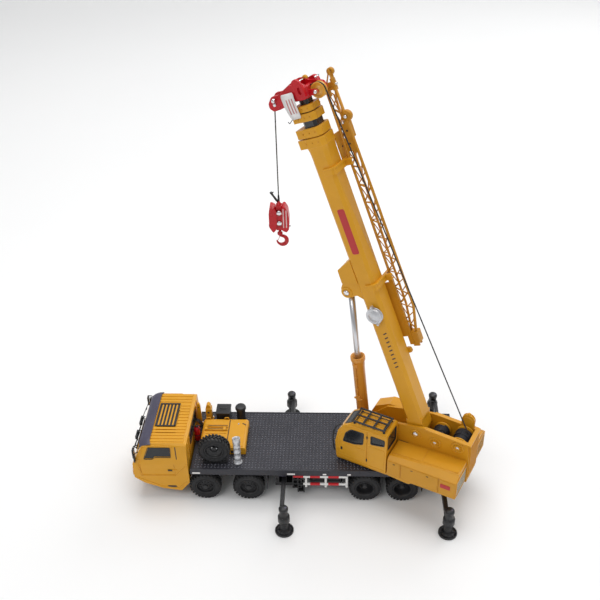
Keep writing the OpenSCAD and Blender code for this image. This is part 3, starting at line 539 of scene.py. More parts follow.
    def build(self, name, body=None, replaces=None, slot=None, bevel=0.0, segments=2):
        mesh = bpy.data.meshes.new(name)
        mesh.from_pydata([(self.matrix @ p) * MM for p in self.verts], [], self.faces)
        mesh.validate()
        bm = bmesh.new()
        bm.from_mesh(mesh)
        bmesh.ops.recalc_face_normals(bm, faces=bm.faces[:])
        bm.to_mesh(mesh)
        bm.free()
        thing = bpy.data.objects.new(name, mesh)
        bpy.context.scene.collection.objects.link(thing)
        for finish in self.finishes:
            mesh.materials.append(MAT[finish])
        for i, poly in enumerate(mesh.polygons):
            poly.material_index = self.slots[i]
            poly.use_smooth = self.smooth[i]
        if bevel:
            ease_edges(thing, bevel, segments, 35)
        if body:
            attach(thing, body)
        if replaces:
            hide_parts(replaces)
        return thing


def cad(node, finish, bevel=0.0, segments=2):
    """Keeps a CAD node showing, with a finish and eased edges."""
    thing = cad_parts[node]
    thing.data.materials.clear()
    thing.data.materials.append(MAT[finish])
    for poly in thing.data.polygons:
        poly.material_index = 0
    if bevel:
        weld = thing.modifiers.new("weld", "WELD")
        weld.merge_threshold = 1e-6
        ease_edges(thing, bevel, segments, 38)
    return thing


# ================================================================ CARRIER
def deck_plate():
    """Tread plate of raised lozenges in a herringbone, inside an upturned rim."""
    x_start, x_end, half_width = -117.4, 49.4, 26.5
    pitch, end_gap, side_gap = 2.15, 0.9, 0.6
    half_long, half_wide, height, sunk = 1.0, 0.34, 0.34, -0.05
    rows = int((x_end - x_start) / pitch)
    columns = int(2 * half_width / pitch)
    plate = Part("deck")
    plate.use("lozenge")
    for i in range(rows):
        for j in range(columns):
            x = x_start + end_gap + (i + 0.5) * (x_end - x_start - 2 * end_gap) / rows
            y = -half_width + side_gap + (j + 0.5) * (2 * half_width - 2 * side_gap) / columns
            # leave clear the slewing ring and the hood
            if x * x + y * y < 17.2 ** 2 or (-114.4 < x < -83.6 and abs(y) < 14):
                continue
            angle = radians(45 if (i + j) % 2 else -45)
            verts = []
            for long, wide, z in ((half_long, half_wide, sunk),
                                  (half_long * 0.55, half_wide * 0.45, height)):
                for a, b in ((-long, 0), (0, -wide), (long, 0), (0, wide)):
                    verts.append((x + a * cos(angle) - b * sin(angle),
                                  y + a * sin(angle) + b * cos(angle), DECK + z))
            plate.add(verts, [(0, 1, 5, 4), (1, 2, 6, 5), (2, 3, 7, 6),
                              (3, 0, 4, 7), (4, 5, 6, 7), (3, 2, 1, 0)])
    plate.use("deck")
    for side in SIDES:
        plate.box(-118, 50, *about(side * 26.85, 0.3), DECK - 0.1, DECK + 0.35, 0.1)
    plate.box(49.4, 50, -26.9, 26.9, DECK - 0.1, DECK + 0.35, 0.1)
    plate.build("deck_tread", "chassis", slot="dark_metal")
    cad("deck", "deck", 0.25)

    rivets = Part("deck")
    head = [(TIP, 0.28), (0.22, 0.22), (0.34, 0), (0.34, -0.1)]
    for side in SIDES:
        profile = head if side > 0 else facing(head[::-1], -1)
        for i in range(26):
            rivets.lathe(profile, (-114 + i * 6.4, side * 27.16, 23.9), "y", 10)
    rivets.build("deck_rivets", "chassis", slot="dark_metal")


deck_plate()


# ---------------------------------------------------------------- wheels
FRONT_TYRE, REAR_TYRE = 6.2, 5.6     # widths
TREAD_LUGS = 26


def tyre(part, cx, cy, width):
    """Tyre with rounded shoulders, a step at the bead and cut tread blocks."""
    half = width / 2
    profile = mirrored([
        (BEAD_R, half - 0.75), (BEAD_R + 0.5, half - 0.25), (BEAD_R + 1.0, half - 0.35),
        (BEAD_R + 1.5, half - 0.05), (WHEEL_R - 1.9, half), (WHEEL_R - 1.3, half - 0.28),
        (WHEEL_R - 1.0, half - 0.75)])
    part.hoop(profile[-1:] + profile[:-1], (cx, cy, WHEEL_R), "y", 52)
    edge = half - 0.12
    spread = pi / TREAD_LUGS * 0.66
    # tread rows: y from, y to, shift in lugs, skew
    rows = ((-edge, -half * 0.34, 0.0, 0.05), (-half * 0.26, half * 0.26, 0.5, -0.05),
            (half * 0.34, edge, 0.0, 0.05))
    for i in range(TREAD_LUGS):
        for y0, y1, shift, skew in rows:
            middle = 2 * pi * (i + shift) / TREAD_LUGS
            verts = []
            for level in (WHEEL_R - 1.15, WHEEL_R):
                ease = 0.12 if level == WHEEL_R else 0
                for y, angle in ((y0, middle - spread + skew), (y1, middle - spread - skew),
                                 (y1, middle + spread - skew), (y0, middle + spread + skew)):
                    angle += ease * 0.05 if angle < middle else -ease * 0.05
                    # blocks drop at the shoulders
                    radius = level - (0.28 if ease and abs(abs(y) - edge) < 0.01 else 0)
                    verts.append((cx + radius * sin(angle), cy + y + (ease if y == y0 else -ease),
                                  WHEEL_R + radius * cos(angle)))
            part.add(verts, [(0, 1, 2, 3), (7, 6, 5, 4), (0, 4, 5, 1),
                             (1, 5, 6, 2), (2, 6, 7, 3), (3, 7, 4, 0)])


def rim(part, x, y, side, profile, nut_radius, nut_face):
    """Turned rim and its ten nuts; side is the outward side."""
    part.use("black").lathe(facing(profile, side), (x, y, WHEEL_R), "y", 44, cap=False)
    nut = facing([(0.42, -0.3), (0.42, 0.35), (0.2, 0.38), (0.2, 0.62), (TIP, 0.64)], side)
    for a in angles(10):
        centre = (x + nut_radius * sin(a), y + side * nut_face, WHEEL_R + nut_radius * cos(a))
        part.lathe(nut, centre, "y", 6, smooth=False, cap=False)


def front_rim(part, x, y, side):
    """Dished rim with a raised hub and five hand holes."""
    rim(part, x, y, side, [
        (TIP, 0), (4.9, -0.2), (5.2, -1.2), (5.3, -2.7), (BEAD_R, -2.7), (BEAD_R, 2.7),
        (5.55, 2.85), (5.25, 2.5), (5.0, 1.2), (4.35, 0.75), (3.9, 1.35), (2.65, 1.75),
        (2.45, 2.1), (1.9, 2.2), (1.75, 3.0), (1.35, 3.3), (TIP, 3.35)], 3.25, 1.75)
    part.use("chassis")
    for a in angles(5, 0.5):
        centre = (x + 4.62 * sin(a), y + side * 0.98, WHEEL_R + 4.62 * cos(a))
        part.lathe(facing([(0.55, -0.2), (0.55, 0.02), (TIP, 0.02)], side), centre, "y", 10,
                   smooth=False, cap=False)


def rear_rim(part, x, y, side):
    """Twin-wheel rim: deep outer dish, hub and a brake drum behind."""
    rim(part, x, y, side, [
        (TIP, -1.5), (5.0, -1.6), (5.3, -5.6), (BEAD_R, -5.6), (BEAD_R, 5.6), (5.6, 5.75),
        (5.3, 5.4), (5.1, 3.6), (4.7, 1.5), (4.1, 0.9), (2.7, 0.8), (2.4, 1.1), (2.2, 2.9),
        (1.6, 3.4), (1.3, 3.9), (TIP, 4.0)], 3.4, 0.82)
    part.use("chassis").lathe(facing([(0.001, -6.6), (4.4, -6.6), (4.4, -1.6)], side),
                              (x, y, WHEEL_R), "y", 32, smooth=False)


def wheelsets():
    for number, x in enumerate(AXLES, 1):
        tyres, rims = Part("tyre"), Part("black")
        for side in SIDES:
            if number <= 2:
                y = side * (WHEEL_FACE - FRONT_TYRE / 2)
                tyre(tyres, x, y, FRONT_TYRE)
                front_rim(rims, x, y, side)
            else:
                for inward in (2.8, 8.9):
                    tyre(tyres, x, side * (WHEEL_FACE - inward), REAR_TYRE)
                rear_rim(rims, x, side * (WHEEL_FACE - 5.9), side)
        # axle shaft
        rims.use("chassis").lathe([(0.001, -24), (1.45, -24), (1.45, 24), (0.001, 24)],
                                  (x, 0, WHEEL_R), "y", 24, smooth=False)
        tyres.build(f"tyres_axle_{number}", f"wheelset_{number}", f"tyres_{number}", "tyre")
        rims.build(f"rims_axle_{number}", f"wheelset_{number}", f"axle_{number}", "black",
                   bevel=0.08, segments=1)


wheelsets()


def spare_wheel():
    """Wheel standing on the deck in a cradle, the dish of its rim on the near face."""
    x, y, z = -102.9, -18.9, DECK + 10.3
    local = CARRIER @ Matrix.Translation((x, y, z - WHEEL_R))
    ring = Part("tyre", local)
    tyre(ring, 0, 0, FRONT_TYRE)
    ring.build("spare_tyre_ring", "chassis", "spare_tyre", "tyre")

    hub = (0, 0, WHEEL_R)
    rims = Part("black", local)
    rims.lathe([(0.001, 0.3), (2.2, 0.3), (2.2, -0.4), (2.6, -0.7), (4.4, -0.9), (4.9, -1.2),
                (5.2, -2.0), (5.4, -2.75), (BEAD_R, -2.7), (BEAD_R, 2.7), (5.4, 2.75),
                (5.2, 1.6), (0.001, 1.5)], hub, "y", 44, cap=False)
    rims.lathe([(0.001, -1.1), (1.5, -1.1), (1.7, -0.9), (1.7, 0.2)], hub, "y", 28, cap=False)
    for a in angles(8, 0.5):
        rims.lathe([(TIP, -1.15), (0.4, -1.1), (0.4, -0.6)],
                   (3.5 * sin(a), 0, WHEEL_R + 3.5 * cos(a)), "y", 8, smooth=False, cap=False)
    rims.use("alu")
    for a in (-0.55, 0.9):
        rims.tilted((2.3 * sin(a), -1.25, WHEEL_R + 2.3 * cos(a)), (0.9, 0.3, 0.5),
                    Matrix.Rotation(a, 4, "Y"), 0.1)

    cradle = Part("black")
    steps, radius, x_front, x_rear = 14, 10.35, -110.4, -95.4
    arc = []
    for i in range(steps + 1):
        a = radians(-38 + 76 * i / steps)
        arc.append((x + radius * sin(a), z - radius * cos(a)))
    cradle.prism([(x_front, DECK), (x_rear, DECK), (x_rear, arc[-1][1])] + arc[::-1]
                 + [(x_front, arc[0][1])], -21.6, -16.2)
    for bolt_x in (-109.6, -96.2):
        cradle.lathe([(TIP, DECK + 2.9), (0.45, DECK + 2.85), (0.5, DECK + 2.2)],
                     (bolt_x, y, 0), "z", 8, smooth=False, cap=False)
    cradle.build("spare_cradle", "chassis", slot="black", bevel=0.2)
    rims.build("spare_rim_back", "chassis", "spare_rim", "black")


spare_wheel()


# ---------------------------------------------------------------- behind the cab
def engine_hood():
    top = HOOD_TOP
    shell = Part("yellow")
    shell.prism([(-114, DECK), (-84, DECK), (-84, top - 1.5), (-84.5, top - 0.5), (-85.5, top),
                 (-112.6, top), (-113.6, top - 0.4), (-114, top - 1.4)], -13.5, 13.5)
    shell.build("hood_shell", "chassis", "engine_hood", "yellow", bevel=0.55, segments=3)

    lids = Part("yellow")
    for x0, x1 in ((-112.3, -96.7), (-95.9, -85.6)):
        lids.prism(rect(x0, x1, -12.2, 12.4), top - 0.1, top + 0.35, "xy")
    for y in (7.4, -0.6, -5.0):
        lids.box(-111.6, -97.4, *about(y, 0.35), top + 0.25, top + 0.7, 0.15)
    lids.build("hood_lids", "chassis", slot="yellow", bevel=0.25)

    lid = top + 0.35
    bits = Part("yellow")
    for x in (-111.3, -99.2):
        bits.box(*about(x, 0.85), 1.7, 5.3, lid - 0.1, lid + 0.9, 0.3)
    for y in (2.0, 5.0):
        bits.tube([(-111.9, y, lid + 0.75), (-97.0, y, lid + 0.75)], 0.42, 10)
    for x in (-110.9, -98.7):
        bits.tube([(x - 1.3, 13.1, lid - 0.2), (x - 1.1, 13.3, lid + 1.0),
                   (x + 1.1, 13.3, lid + 1.0), (x + 1.3, 13.1, lid - 0.2)], 0.42, 10)
    for x in (-110.3, -99.8):
        bits.box(*about(x, 0.6), *about(-8.4, 0.9), lid - 0.05, lid + 0.4, 0.15)
    bits.use("silver")
    for y in (-8.4, 8.4):
        bits.lathe([(TIP, lid + 0.42), (0.5, lid + 0.36), (0.62, lid - 0.05)],
                   (-90.4, y, 0), "z", 12, cap=False)
    # dark slots on the lids, the rear face and the near side, painted as the shade in them
    bits.use("print_and_recess_shade")
    for y in (3.5, 6.5):
        bits.box(-110.2, -97.4, *about(y, 0.35), lid - 0.05, lid + 0.07, 0.02)
    bits.tilted((-86.6, 8.2, lid + 0.05), (2.9, 0.7, 0.2), turn(-35, "Z"), 0.03)
    bits.box(-96.5, -96.1, -12.4, 12.5, lid - 0.3, lid - 0.05, 0.02)
    for i in range(5):
        bits.box(-84.04, -83.93, -9.5 + i * 4, -7.1 + i * 4, DECK + 1.1, DECK + 3.9, 0.03)
    for i in range(7):
        bits.box(-110 + i * 3.3, -108 + i * 3.3, -13.56, -13.44, DECK + 1.2, DECK + 3.6, 0.03)
    bits.build("hood_fittings", "chassis", slot="yellow")


def exhaust():
    """Upright pipe with three bands and a slanting open mouth."""
    x, y = -88.2, -20.4
    # height over the deck, radius, slant of the ring
    stations = [(0, 2.75, 0), (0.9, 2.75, 0), (1.15, 2.45, 0), (1.3, 2.12, 0)]
    for z in (5.0, 9.5, 14.0):
        stations += [(z - 0.35, 2.12, 0), (z - 0.2, 2.28, 0),
                     (z + 0.2, 2.28, 0), (z + 0.35, 2.12, 0)]
    stations += [(16.4, 2.12, 0), (17.2, 2.45, 0), (20.9, 2.5, 0.75),
                 (21.0, 2.3, 0.75), (18.2, 1.85, 0), (15.0, 1.6, 0)]
    pipe = Part("alu")
    pipe.sweep([[(x + r * cos(w), y + r * sin(w), DECK + z + slant * cos(w + 1.2))
                 for w in angles(28)] for z, r, slant in stations])
    for a in angles(6):
        pipe.box(*about(x + 2.3 * cos(a), 0.25), *about(y + 2.3 * sin(a), 0.25),
                 DECK + 0.8, DECK + 1.35, 0.1)
    # bracket to the hood
    pipe.box(*about(x, 0.5), y + 2.0, -13.4, DECK + 3.4, DECK + 4.4, 0.15)
    pipe.build("exhaust_pipe", "chassis", "exhaust_stack", "silver")


def extinguisher():
    part = Part("red", CARRIER @ Matrix.Translation((0.9, 4.6, 0)))
    x, y = -117.6, -4
    foot = (x, y, DECK)
    part.lathe([(TIP, 0), (1.9, 0), (2.1, 0.25), (2.1, 8.9), (1.8, 9.9), (1.05, 10.5),
                (0.85, 10.8)], foot, "z", 28, cap=False)
    part.use("black")
    part.lathe([(0.85, 10.7), (0.85, 11.5), (0.5, 11.8), (TIP, 11.8)], foot, "z", 18, cap=False)
    part.lathe([(2.16, 4.2), (2.16, 4.9)], foot, "z", 28)
    part.tube([(x, y, DECK + 11.2), (-116.2, -5.2, DECK + 11.4), (-114.8, -6.3, DECK + 9.6),
               (-115.2, -6.2, DECK + 6.2)], 0.3, 8)
    part.box(-117.2, -115.6, *about(y, 0.3), DECK + 11.4, DECK + 12.0, 0.1)
    part.build("extinguisher_bottle", "chassis", "extinguisher", "red")


def cab_hoses():
    """Three lines from the cab down to the hood, on the far side."""
    hoses = Part("black")
    for i in range(3):
        y, drop = 8.5 + i * 1.5, i * 0.6
        hoses.tube([(-118.9, y, DECK + 9.0 - drop), (-117.2, y, DECK + 8.2 - drop),
                    (-115.6, y - 0.4, DECK + 5.5), (-114.6, y - 0.5, DECK + 3.4),
                    (-113.8, y - 0.5, DECK + 3.0)], 0.38, 8)
    hoses.build("cab_hoses", "chassis", slot="black")


engine_hood()
exhaust()
extinguisher()
cab_hoses()


# ---------------------------------------------------------------- carrier cab
def cab_side_y(z):
    """Half width of the cab: straight below the waist, leaning in above it."""
    if z <= 29:
        return 27.0
    return 27.0 - (z - 29) * (27.0 - 24.9) / (CAB_ROOF - 1.5 - 29)


def cab_skin_place(side):
    """Puts an (x, z) point a distance out from the cab side."""
    return lambda p, out: (p[0], side * (cab_side_y(p[1]) + out), p[1])


def cab_side_trim(trim, side):
    place = cab_skin_place(side)

    def panel(points, proud):
        trim.slab(points, -0.05, proud, place)

    # raised door skin and the window's rubber
    window = round_poly([(-146.4, 33.0), (-143.2, 41.4), (-129.4, 41.4), (-129.4, 34.4),
                         (-139.6, 34.4), (-141, 33.0)], 0.8)
    door = round_poly([(-150.6, 31.5), (-146.8, 43.0), (-128.4, 43.0), (-127.4, 19.8),
                       (-149.2, 19.8), (-150.8, 29)], 1.2)
    trim.use("yellow").frame(door, inset(door, 0.9), -0.2, 0.28, place)
    trim.use("black").frame(inset(window, -0.45), inset(window, 0.15), -0.1, 0.32, place)
    # rear upper slot and low slot painted dark as the shade in them; door pull
    trim.use("print_and_recess_shade")
    panel([(-126.1, 33.0), (-125.5, 33.0), (-125.9, 42.0), (-126.5, 42.0)], 0.12)
    panel([(-133.0, 9.2), (-127.6, 9.2), (-128.2, 10.7), (-133.6, 10.7)], 0.14)
    trim.use("black")
    panel(rect(-132.0, -129.2, 23.7, 24.7), 0.5)
    # wheel arch lip and sill crease
    trim.use("yellow")
    panel([(-152.6, 17.0), (-137.4, 9.4), (-126.0, 7.6), (-121.0, 13.8), (-121.0, 14.5),
           (-126.6, 8.5), (-137.4, 10.3), (-152.0, 17.8)], 0.22)
    panel([(-126.9, 19.5), (-119.4, 28.6), (-119.4, 29.3), (-127.2, 20.2)], 0.25)
    # mirror and its arm
    y = side * (cab_side_y(38) + 0.1)
    trim.use("black").tube([(-149.2, y - side * 1.0, 37.6), (-151.2, y + side * 1.0, 38.2),
                            (-151.8, y + side * 1.6, 36.2)], 0.32, 8)
    trim.box(-152.4, -151.4, *sorted((y + side * 0.6, y + side * 2.8)), 31.6, 36.8, 0.35)
    # hinges
    trim.use("yellow")
    for z in (23.5, 31.0):
        panel(rect(-150.3, -149.5, z, z + 1.6), 0.55)


def cab_panels():
    cad("carrier_cab", "yellow", 0.3, 3)
    cad("cab_glass", "glass")
    trim = Part("yellow")
    for side in SIDES:
        cab_side_trim(trim, side)
    # roof ribs running fore and aft, broken where the vent sits
    trim.use("yellow")
    rib_z = (CAB_ROOF - 0.2, CAB_ROOF + 0.42)
    for y in (-21.4, -18.6, -15.8, -13.0, -10.2, 16.0, 18.8, 21.6):
        trim.box(-143.3, -121.2, *about(y, 1), *rib_z, 0.2)
    for y in (-7.4, -4.6, -1.8, 1.0, 3.8, 6.6, 9.4, 12.2):
        trim.box(-127.6, -121.2, *about(y, 1), *rib_z, 0.2)
        trim.box(-143.3, -142.2, *about(y, 1), *rib_z, 0.2)
    # rear wall: ribs and window rubber
    for y in (-20, -15, 15, 20):
        trim.box(CAB_REAR - 0.2, CAB_REAR + 0.5, *about(y, 0.6), 27, 41, 0.2)
    trim.use("black").frame(rrect(-12.6, 12.6, 32.5, 41.0, 1.2, 4),
                            rrect(-11.6, 11.6, 33.5, 40.0, 0.8, 4),
                            CAB_REAR - 0.1, CAB_REAR + 0.35, "yz")
    # front: bumper with a step, lower grille with its slots painted dark as shade, and number panel
    trim.use("yellow")
    trim.box(-155.1, -153.6, -25.2, 25.2, 17.6, 21.8, 0.45)
    trim.box(-154.9, -153.8, -20, 20, 13.9, 16.6, 0.35)
    trim.use("print_and_recess_shade")
    for i in range(4):
        z = 27.2 + i * 0.95
        trim.box(-154.25, -153.9, -13.5, 13.5, z, z + 0.5, 0.08)
    trim.box(-155.18, -155.05, -6, 6, 18.4, 21.0, 0.05)
    trim.build("cab_trim_panels", "chassis", slot="yellow", bevel=0.08, segments=1)


# side reflectors: x, length, finish
REFLECTORS = (
    (-116.8, 5.0, "tag"), (-56.9, 5.0, "tag"), (-34.5, 2.2, "tag"), (-19.2, 2.2, "tag"),
    (24.0, 2.2, "red"), (46.0, 2.2, "red"),
)


def lamps():
    """Headlamps, corner lamps, side reflectors and tail lamps."""
    lamp = Part("black")
    for side in SIDES:
        y = side * 20.2
        lamp.use("black").box(-154.7, -153.8, *about(y, 4.2), 22.4, 26.6, 0.4)
        for shift in (-1.9, 1.9):
            lamp.use("lens").lathe([(1.55, 0.2), (1.5, -0.25), (1.1, -0.5), (0.5, -0.62),
                                    (TIP, -0.65)], (-154.72, y + shift, 24.5), "x", 20)
            lamp.use("silver").lathe([(1.85, 0.1), (1.85, -0.2), (1.55, -0.2)],
                                     (-154.75, y + shift, 24.5), "x", 20)
        lamp.use("amber").box(-154.5, -152.6, *about(side * 25.4, 0.9), 22.9, 25.9, 0.3)
        for x, length, finish in REFLECTORS:
            lamp.use(finish).box(x, x + length, *about(side * 27.28, 0.14), 21.7, 22.75, 0.08)
        lamp.use("black").box(49.9, 50.7, *about(side * 20, 5), 15.6, 19.4, 0.3)
        for i, finish in enumerate(("red", "amber", "red")):
            lamp.use(finish).lathe([(1.25, 0), (1.2, 0.3), (0.6, 0.5), (TIP, 0.52)],
                                   (50.62, side * 20 - 3 + 3 * i, 17.5), "x", 18)
    lamp.build("lamp_units", "chassis", "lamps", "white")


def sun_visor():
    """One curved sheet with turned-down ends and three stays."""
    steps, radius, sweep_angle = 8, 7.6, 62
    top = []
    for i in range(steps + 1):
        a = radians(-2 + sweep_angle * i / steps)
        top.append((-142.4 - radius * sin(a) * 1.02,
                    CAB_ROOF + 1.25 - radius * (1 - cos(a)) * 0.62))
    under = [(x + 0.55 * sin(radians(sweep_angle * i / steps)), z - 0.62)
             for i, (x, z) in enumerate(top)]
    visor = Part("grey")
    rings = []
    for i in range(17):
        y = -24.9 + 49.8 * i / 16
        end = max(0.0, (abs(y) - 22.5) / 2.4)
        rings.append([(x + 0.9 * end * end, y, z - 1.0 * end * end)
                      for x, z in top + under[::-1]])
    visor.sweep(rings)
    for y in (-16, 0, 16):
        visor.box(-144.2, -142.6, *about(y, 0.4), CAB_ROOF - 0.1, CAB_ROOF + 1.0, 0.1)
    visor.build("sun_visor_sheet", "chassis", "cab_visor", "grey", bevel=0.12)


def cab_mirrors():
    """Two mirrors hanging ahead of the screen and one at each corner."""
    mirror = Part("black")
    for y0, y1 in ((-2.6, 4.8), (-15.4, -8.6)):
        y = (y0 + y1) / 2
        mirror.box(-153.2, -151.8, y0, y1, 38.9, 41.4, 0.5)
        mirror.tube([(-152.5, y, 41.2), (-151.9, y, 42.4), (-149.6, y, 43.6)], 0.34, 8)
    for side in SIDES:
        mirror.box(-153.4, -152.2, *span(side, 23.4, 26.6), 33.4, 40.2, 0.5)
        mirror.tube([(-152.8, side * 24.6, 40.0), (-152.2, side * 24.2, 41.6),
                     (-149.4, side * 23.2, 42.2)], 0.34, 8)
    mirror.use("silver")
    for side in SIDES:
        mirror.box(-152.25, -152.12, *span(side, 23.9, 26.1), 34.0, 39.6, 0.05)
    mirror.build("cab_mirrors", "chassis", slot="black")


def roof_vent_and_wipers():
    # vent: frame and bars over a well painted dark as its shade
    part = Part("print_and_recess_shade")
    part.box(-140.9, -128.7, -7.6, 12.8, CAB_ROOF - 0.46, CAB_ROOF + 0.1, 0.05)
    x0, x1, y0, y1 = -141.4, -128.3, -8.4, 13.6
    part.use("black")
    for edges in ((x0, x0 + 0.8, y0, y1), (x1 - 0.8, x1, y0, y1),
                  (x0, x1, y0, y0 + 0.9), (x0, x1, y1 - 0.9, y1)):
        part.box(*edges, CAB_ROOF - 0.2, CAB_ROOF + 0.55, 0.18)
    pitch = (x1 - x0 - 1.6) / 5
    for i in range(4):
        part.box(*about(x0 + 0.8 + (i + 1) * pitch, 0.36), y0 + 0.5, y1 - 0.5,
                 CAB_ROOF - 0.3, CAB_ROOF + 0.42, 0.12)
    part.use("yellow")
    for i in range(5):
        part.box(*about(x0 + 0.8 + (i + 0.5) * pitch, 0.5), y0 + 1.2, y1 - 1.2,
                 CAB_ROOF - 0.3, CAB_ROOF + 0.22, 0.2)
    # three wipers: arm, blade and pivot, laid on the raked screen
    screen = Matrix.Translation((-154.4, 0, 31.9)) @ turn(26.5, "Y")
    part.use("black")
    for y in (-17.5, -3.0, 11.5):
        for path, radius, seg in (
                ([(-0.5, y, 0.2), (-1.0, y + 2.0, 3.6), (-0.9, y + 4.6, 7.4)], 0.26, 8),
                ([(-0.75, y + 0.6, 8.3), (-0.95, y + 4.6, 7.6), (-0.75, y + 8.6, 8.2)], 0.22, 8),
                ([(-0.1, y, 0.2), (-0.9, y, 0.2)], 0.5, 12)):
            part.tube([screen @ Vector(p) for p in path], radius, seg)
    # rail across the front, over the screen foot
    part.tube([(-153.6, -14, 30.0), (-155.0, -13.4, 30.6), (-155.0, 13.4, 30.6),
               (-153.6, 14, 30.0)], 0.3, 8)
    part.build("roof_vent_and_wipers", "chassis", "cab_trim", "black")


cab_panels()
lamps()
sun_visor()
cab_mirrors()
roof_vent_and_wipers()


# ---------------------------------------------------------------- outriggers
def outrigger_boxes():
    """Bolts, ledges and wear pads at both ends of the two boxes."""
    part = Part("black")
    for x in OUTRIGGERS:
        for side in SIDES:
            part.use("black")
            for shift in (-6.2, 6.2):
                for z in (9.6, 14.2, 19.4):
                    part.lathe(facing([(TIP, 24.5), (0.42, 24.45), (0.5, 23.9)], side),
                               (x + shift, 0, z), "y", 6, smooth=False)
            part.box(*about(x, 7.2), *span(side, 21.6, 22.4), 8.6, 9.2, 0.15)
            part.use("grey").box(*about(x + side * 2.35, 2.15), *span(side, 24.0, 24.35),
                                 17.15, 17.7, 0.08)
    part.build("outrigger_box_bolts", "chassis", slot="black")


def outrigger_beam(x, side, tag, place):
    """Beam with stiffeners, the turned jack housing on its end and a hose between them."""
    beam = Part("black")
    mid = x + side * 1.4
    y = side * 53.1
    beam.box(*about(mid, 1.3), *span(side, 14.0, 50.6), 12.6, 16.6, 0.3)
    beam.box(*about(mid, 0.7), *span(side, 15.0, 48.4), 16.5, 16.85, 0.1)
    beam.lathe([(2.5, 8.9), (3.45, 8.9), (3.65, 9.1), (3.65, 12.9), (3.4, 13.4), (2.9, 13.7),
                (2.6, 14.2), (2.6, 18.2), (2.9, 18.5), (2.9, 19.7), (2.5, 20.4), (TIP, 20.5)],
               (x, y, 0), "z", 40, cap=False)
    beam.lathe([(2.5, 8.9), (2.5, 12.0)], (x, y, 0), "z", 40, cap=False)
    for a in angles(6):
        beam.lathe([(0.4, 13.2), (0.4, 13.8), (0.22, 13.85), (0.22, 14.1), (TIP, 14.1)],
                   (x + 3.05 * cos(a + 0.3), y + 3.05 * sin(a + 0.3), 0), "z", 6,
                   smooth=False, cap=False)
    beam.box(*about(x, 2), *span(side, 49.0, 50.55), 12.2, 17.2, 0.3)
    beam.use("grey").lathe([(0.75, 20.3), (0.75, 20.9), (0.4, 21.0), (TIP, 21.05)],
                           (x + 1.2, y, -0.45), "z", 10, smooth=False, cap=False)
    beam.use("black").tube([(x - 1, y, 20.2), (x - 1, y - side * 2.2, 20.0),
                            (mid - 0.2, y - side * 3.3, 18.2),
                            (mid - 0.2, y - side * 3.5, 16.8)], 0.26, 8)
    beam.build(f"outrigger_beam_{tag}", f"outrigger_{tag}", f"beam_{place}", "black")

    # leg on a dished foot with eight ribs
    leg = Part("black")
    leg.lathe([(TIP, 0), (5.5, 0), (5.75, 0.2), (5.75, 1.0), (5.45, 1.2), (5.1, 1.15),
               (4.9, 0.75), (3.3, 0.85), (2.8, 1.3), (2.5, 1.9), (2.4, 2.3), (2.4, 12.6),
               (TIP, 12.6)], (x, y, 0), "z", 44, cap=False)
    for a in angles(8):
        leg.tilted((x + 3.9 * cos(a), y + 3.9 * sin(a), 0.98), (2.2, 0.45, 0.6),
                   Matrix.Rotation(a, 4, "Z") @ turn(14, "Y"), 0.1)
    for z in (4.0, 5.6, 7.2):
        leg.hoop([(2.35, z - 0.2), (2.35, z + 0.2), (2.46, z + 0.15), (2.46, z - 0.15)],
                 (x, y, 0), "z", 32)
    leg.build(f"jack_leg_{tag}", f"jack_{tag}", f"leg_{place}", "black")


outrigger_boxes()
for outrigger_x, end_name in zip(OUTRIGGERS, ("front", "rear")):
    for side_sign, side_name in zip(SIDES, ("near", "far")):
        outrigger_beam(outrigger_x, side_sign, end_name[0] + side_name[0],
                       f"{end_name}_{side_name}")


# ---------------------------------------------------------------- frame and guards
def side_guards():
    """White rails with red sleeves on three uprights."""
    guard = Part("red")
    for side in SIDES:
        y0, y1 = span(side, 26.35, 27.25)
        guard.use("red").box(-53.2, -46.6, y0 - 0.04, y1 + 0.04, 19.0, 20.6, 0.25)
        for z in (19.0, 12.6):
            guard.use("white").box(-46.9, -18.8, y0, y1, z, z + 1.6, 0.25)
            guard.use("red")
            for x0, x1 in ((-42.6, -36.2), (-31.2, -24.4)):
                guard.box(x0, x1, y0 - 0.06, y1 + 0.06, z - 0.06, z + 1.66, 0.25)
        guard.use("white")
        for x in (-45.8, -33.4, -20.2):
            guard.box(x, x + 1.4, *span(side, 25.6, 27.3), 10.8, 20.3, 0.25)
            guard.box(x - 0.4, x + 1.8, *span(side, 25.6, 26.6), 19.6, 20.6, 0.2)
        guard.use("silver")
        for x in (-45.1, -32.7, -19.5):
            for z in (12.6, 18.8):
                guard.lathe(facing([(0.35, 27.25), (0.3, 27.48), (TIP, 27.5)], side),
                            (x, 0, z), "y", 8, cap=False)
    guard.build("side_guard_rails", "chassis", "side_guards", "white")


def boarding_ladders():
    """Three-step ladder ahead of each side guard."""
    ladder = Part("ladder")
    for side in SIDES:
        y0, y1 = span(side, 24.6, 25.9)
        for x in (-53.9, -48.6):
            ladder.box(x, x + 0.9, y0, y1, 8.7, 20.4, 0.15)
        for z in (8.8, 12.3, 15.8):
            ladder.box(-53.9, -47.7, y0 - 0.2, y1 + 0.2, z, z + 0.7, 0.12)
            for i in range(4):
                ladder.box(-53.0 + i * 1.35, -52.4 + i * 1.35, y0, y1, z + 0.6, z + 1.0, 0.08)
        ladder.box(-53.9, -47.7, *span(side, 24.5, 24.8), 9.0, 20.4, 0.05)
    ladder.build("boarding_ladder", "chassis", slot="black")


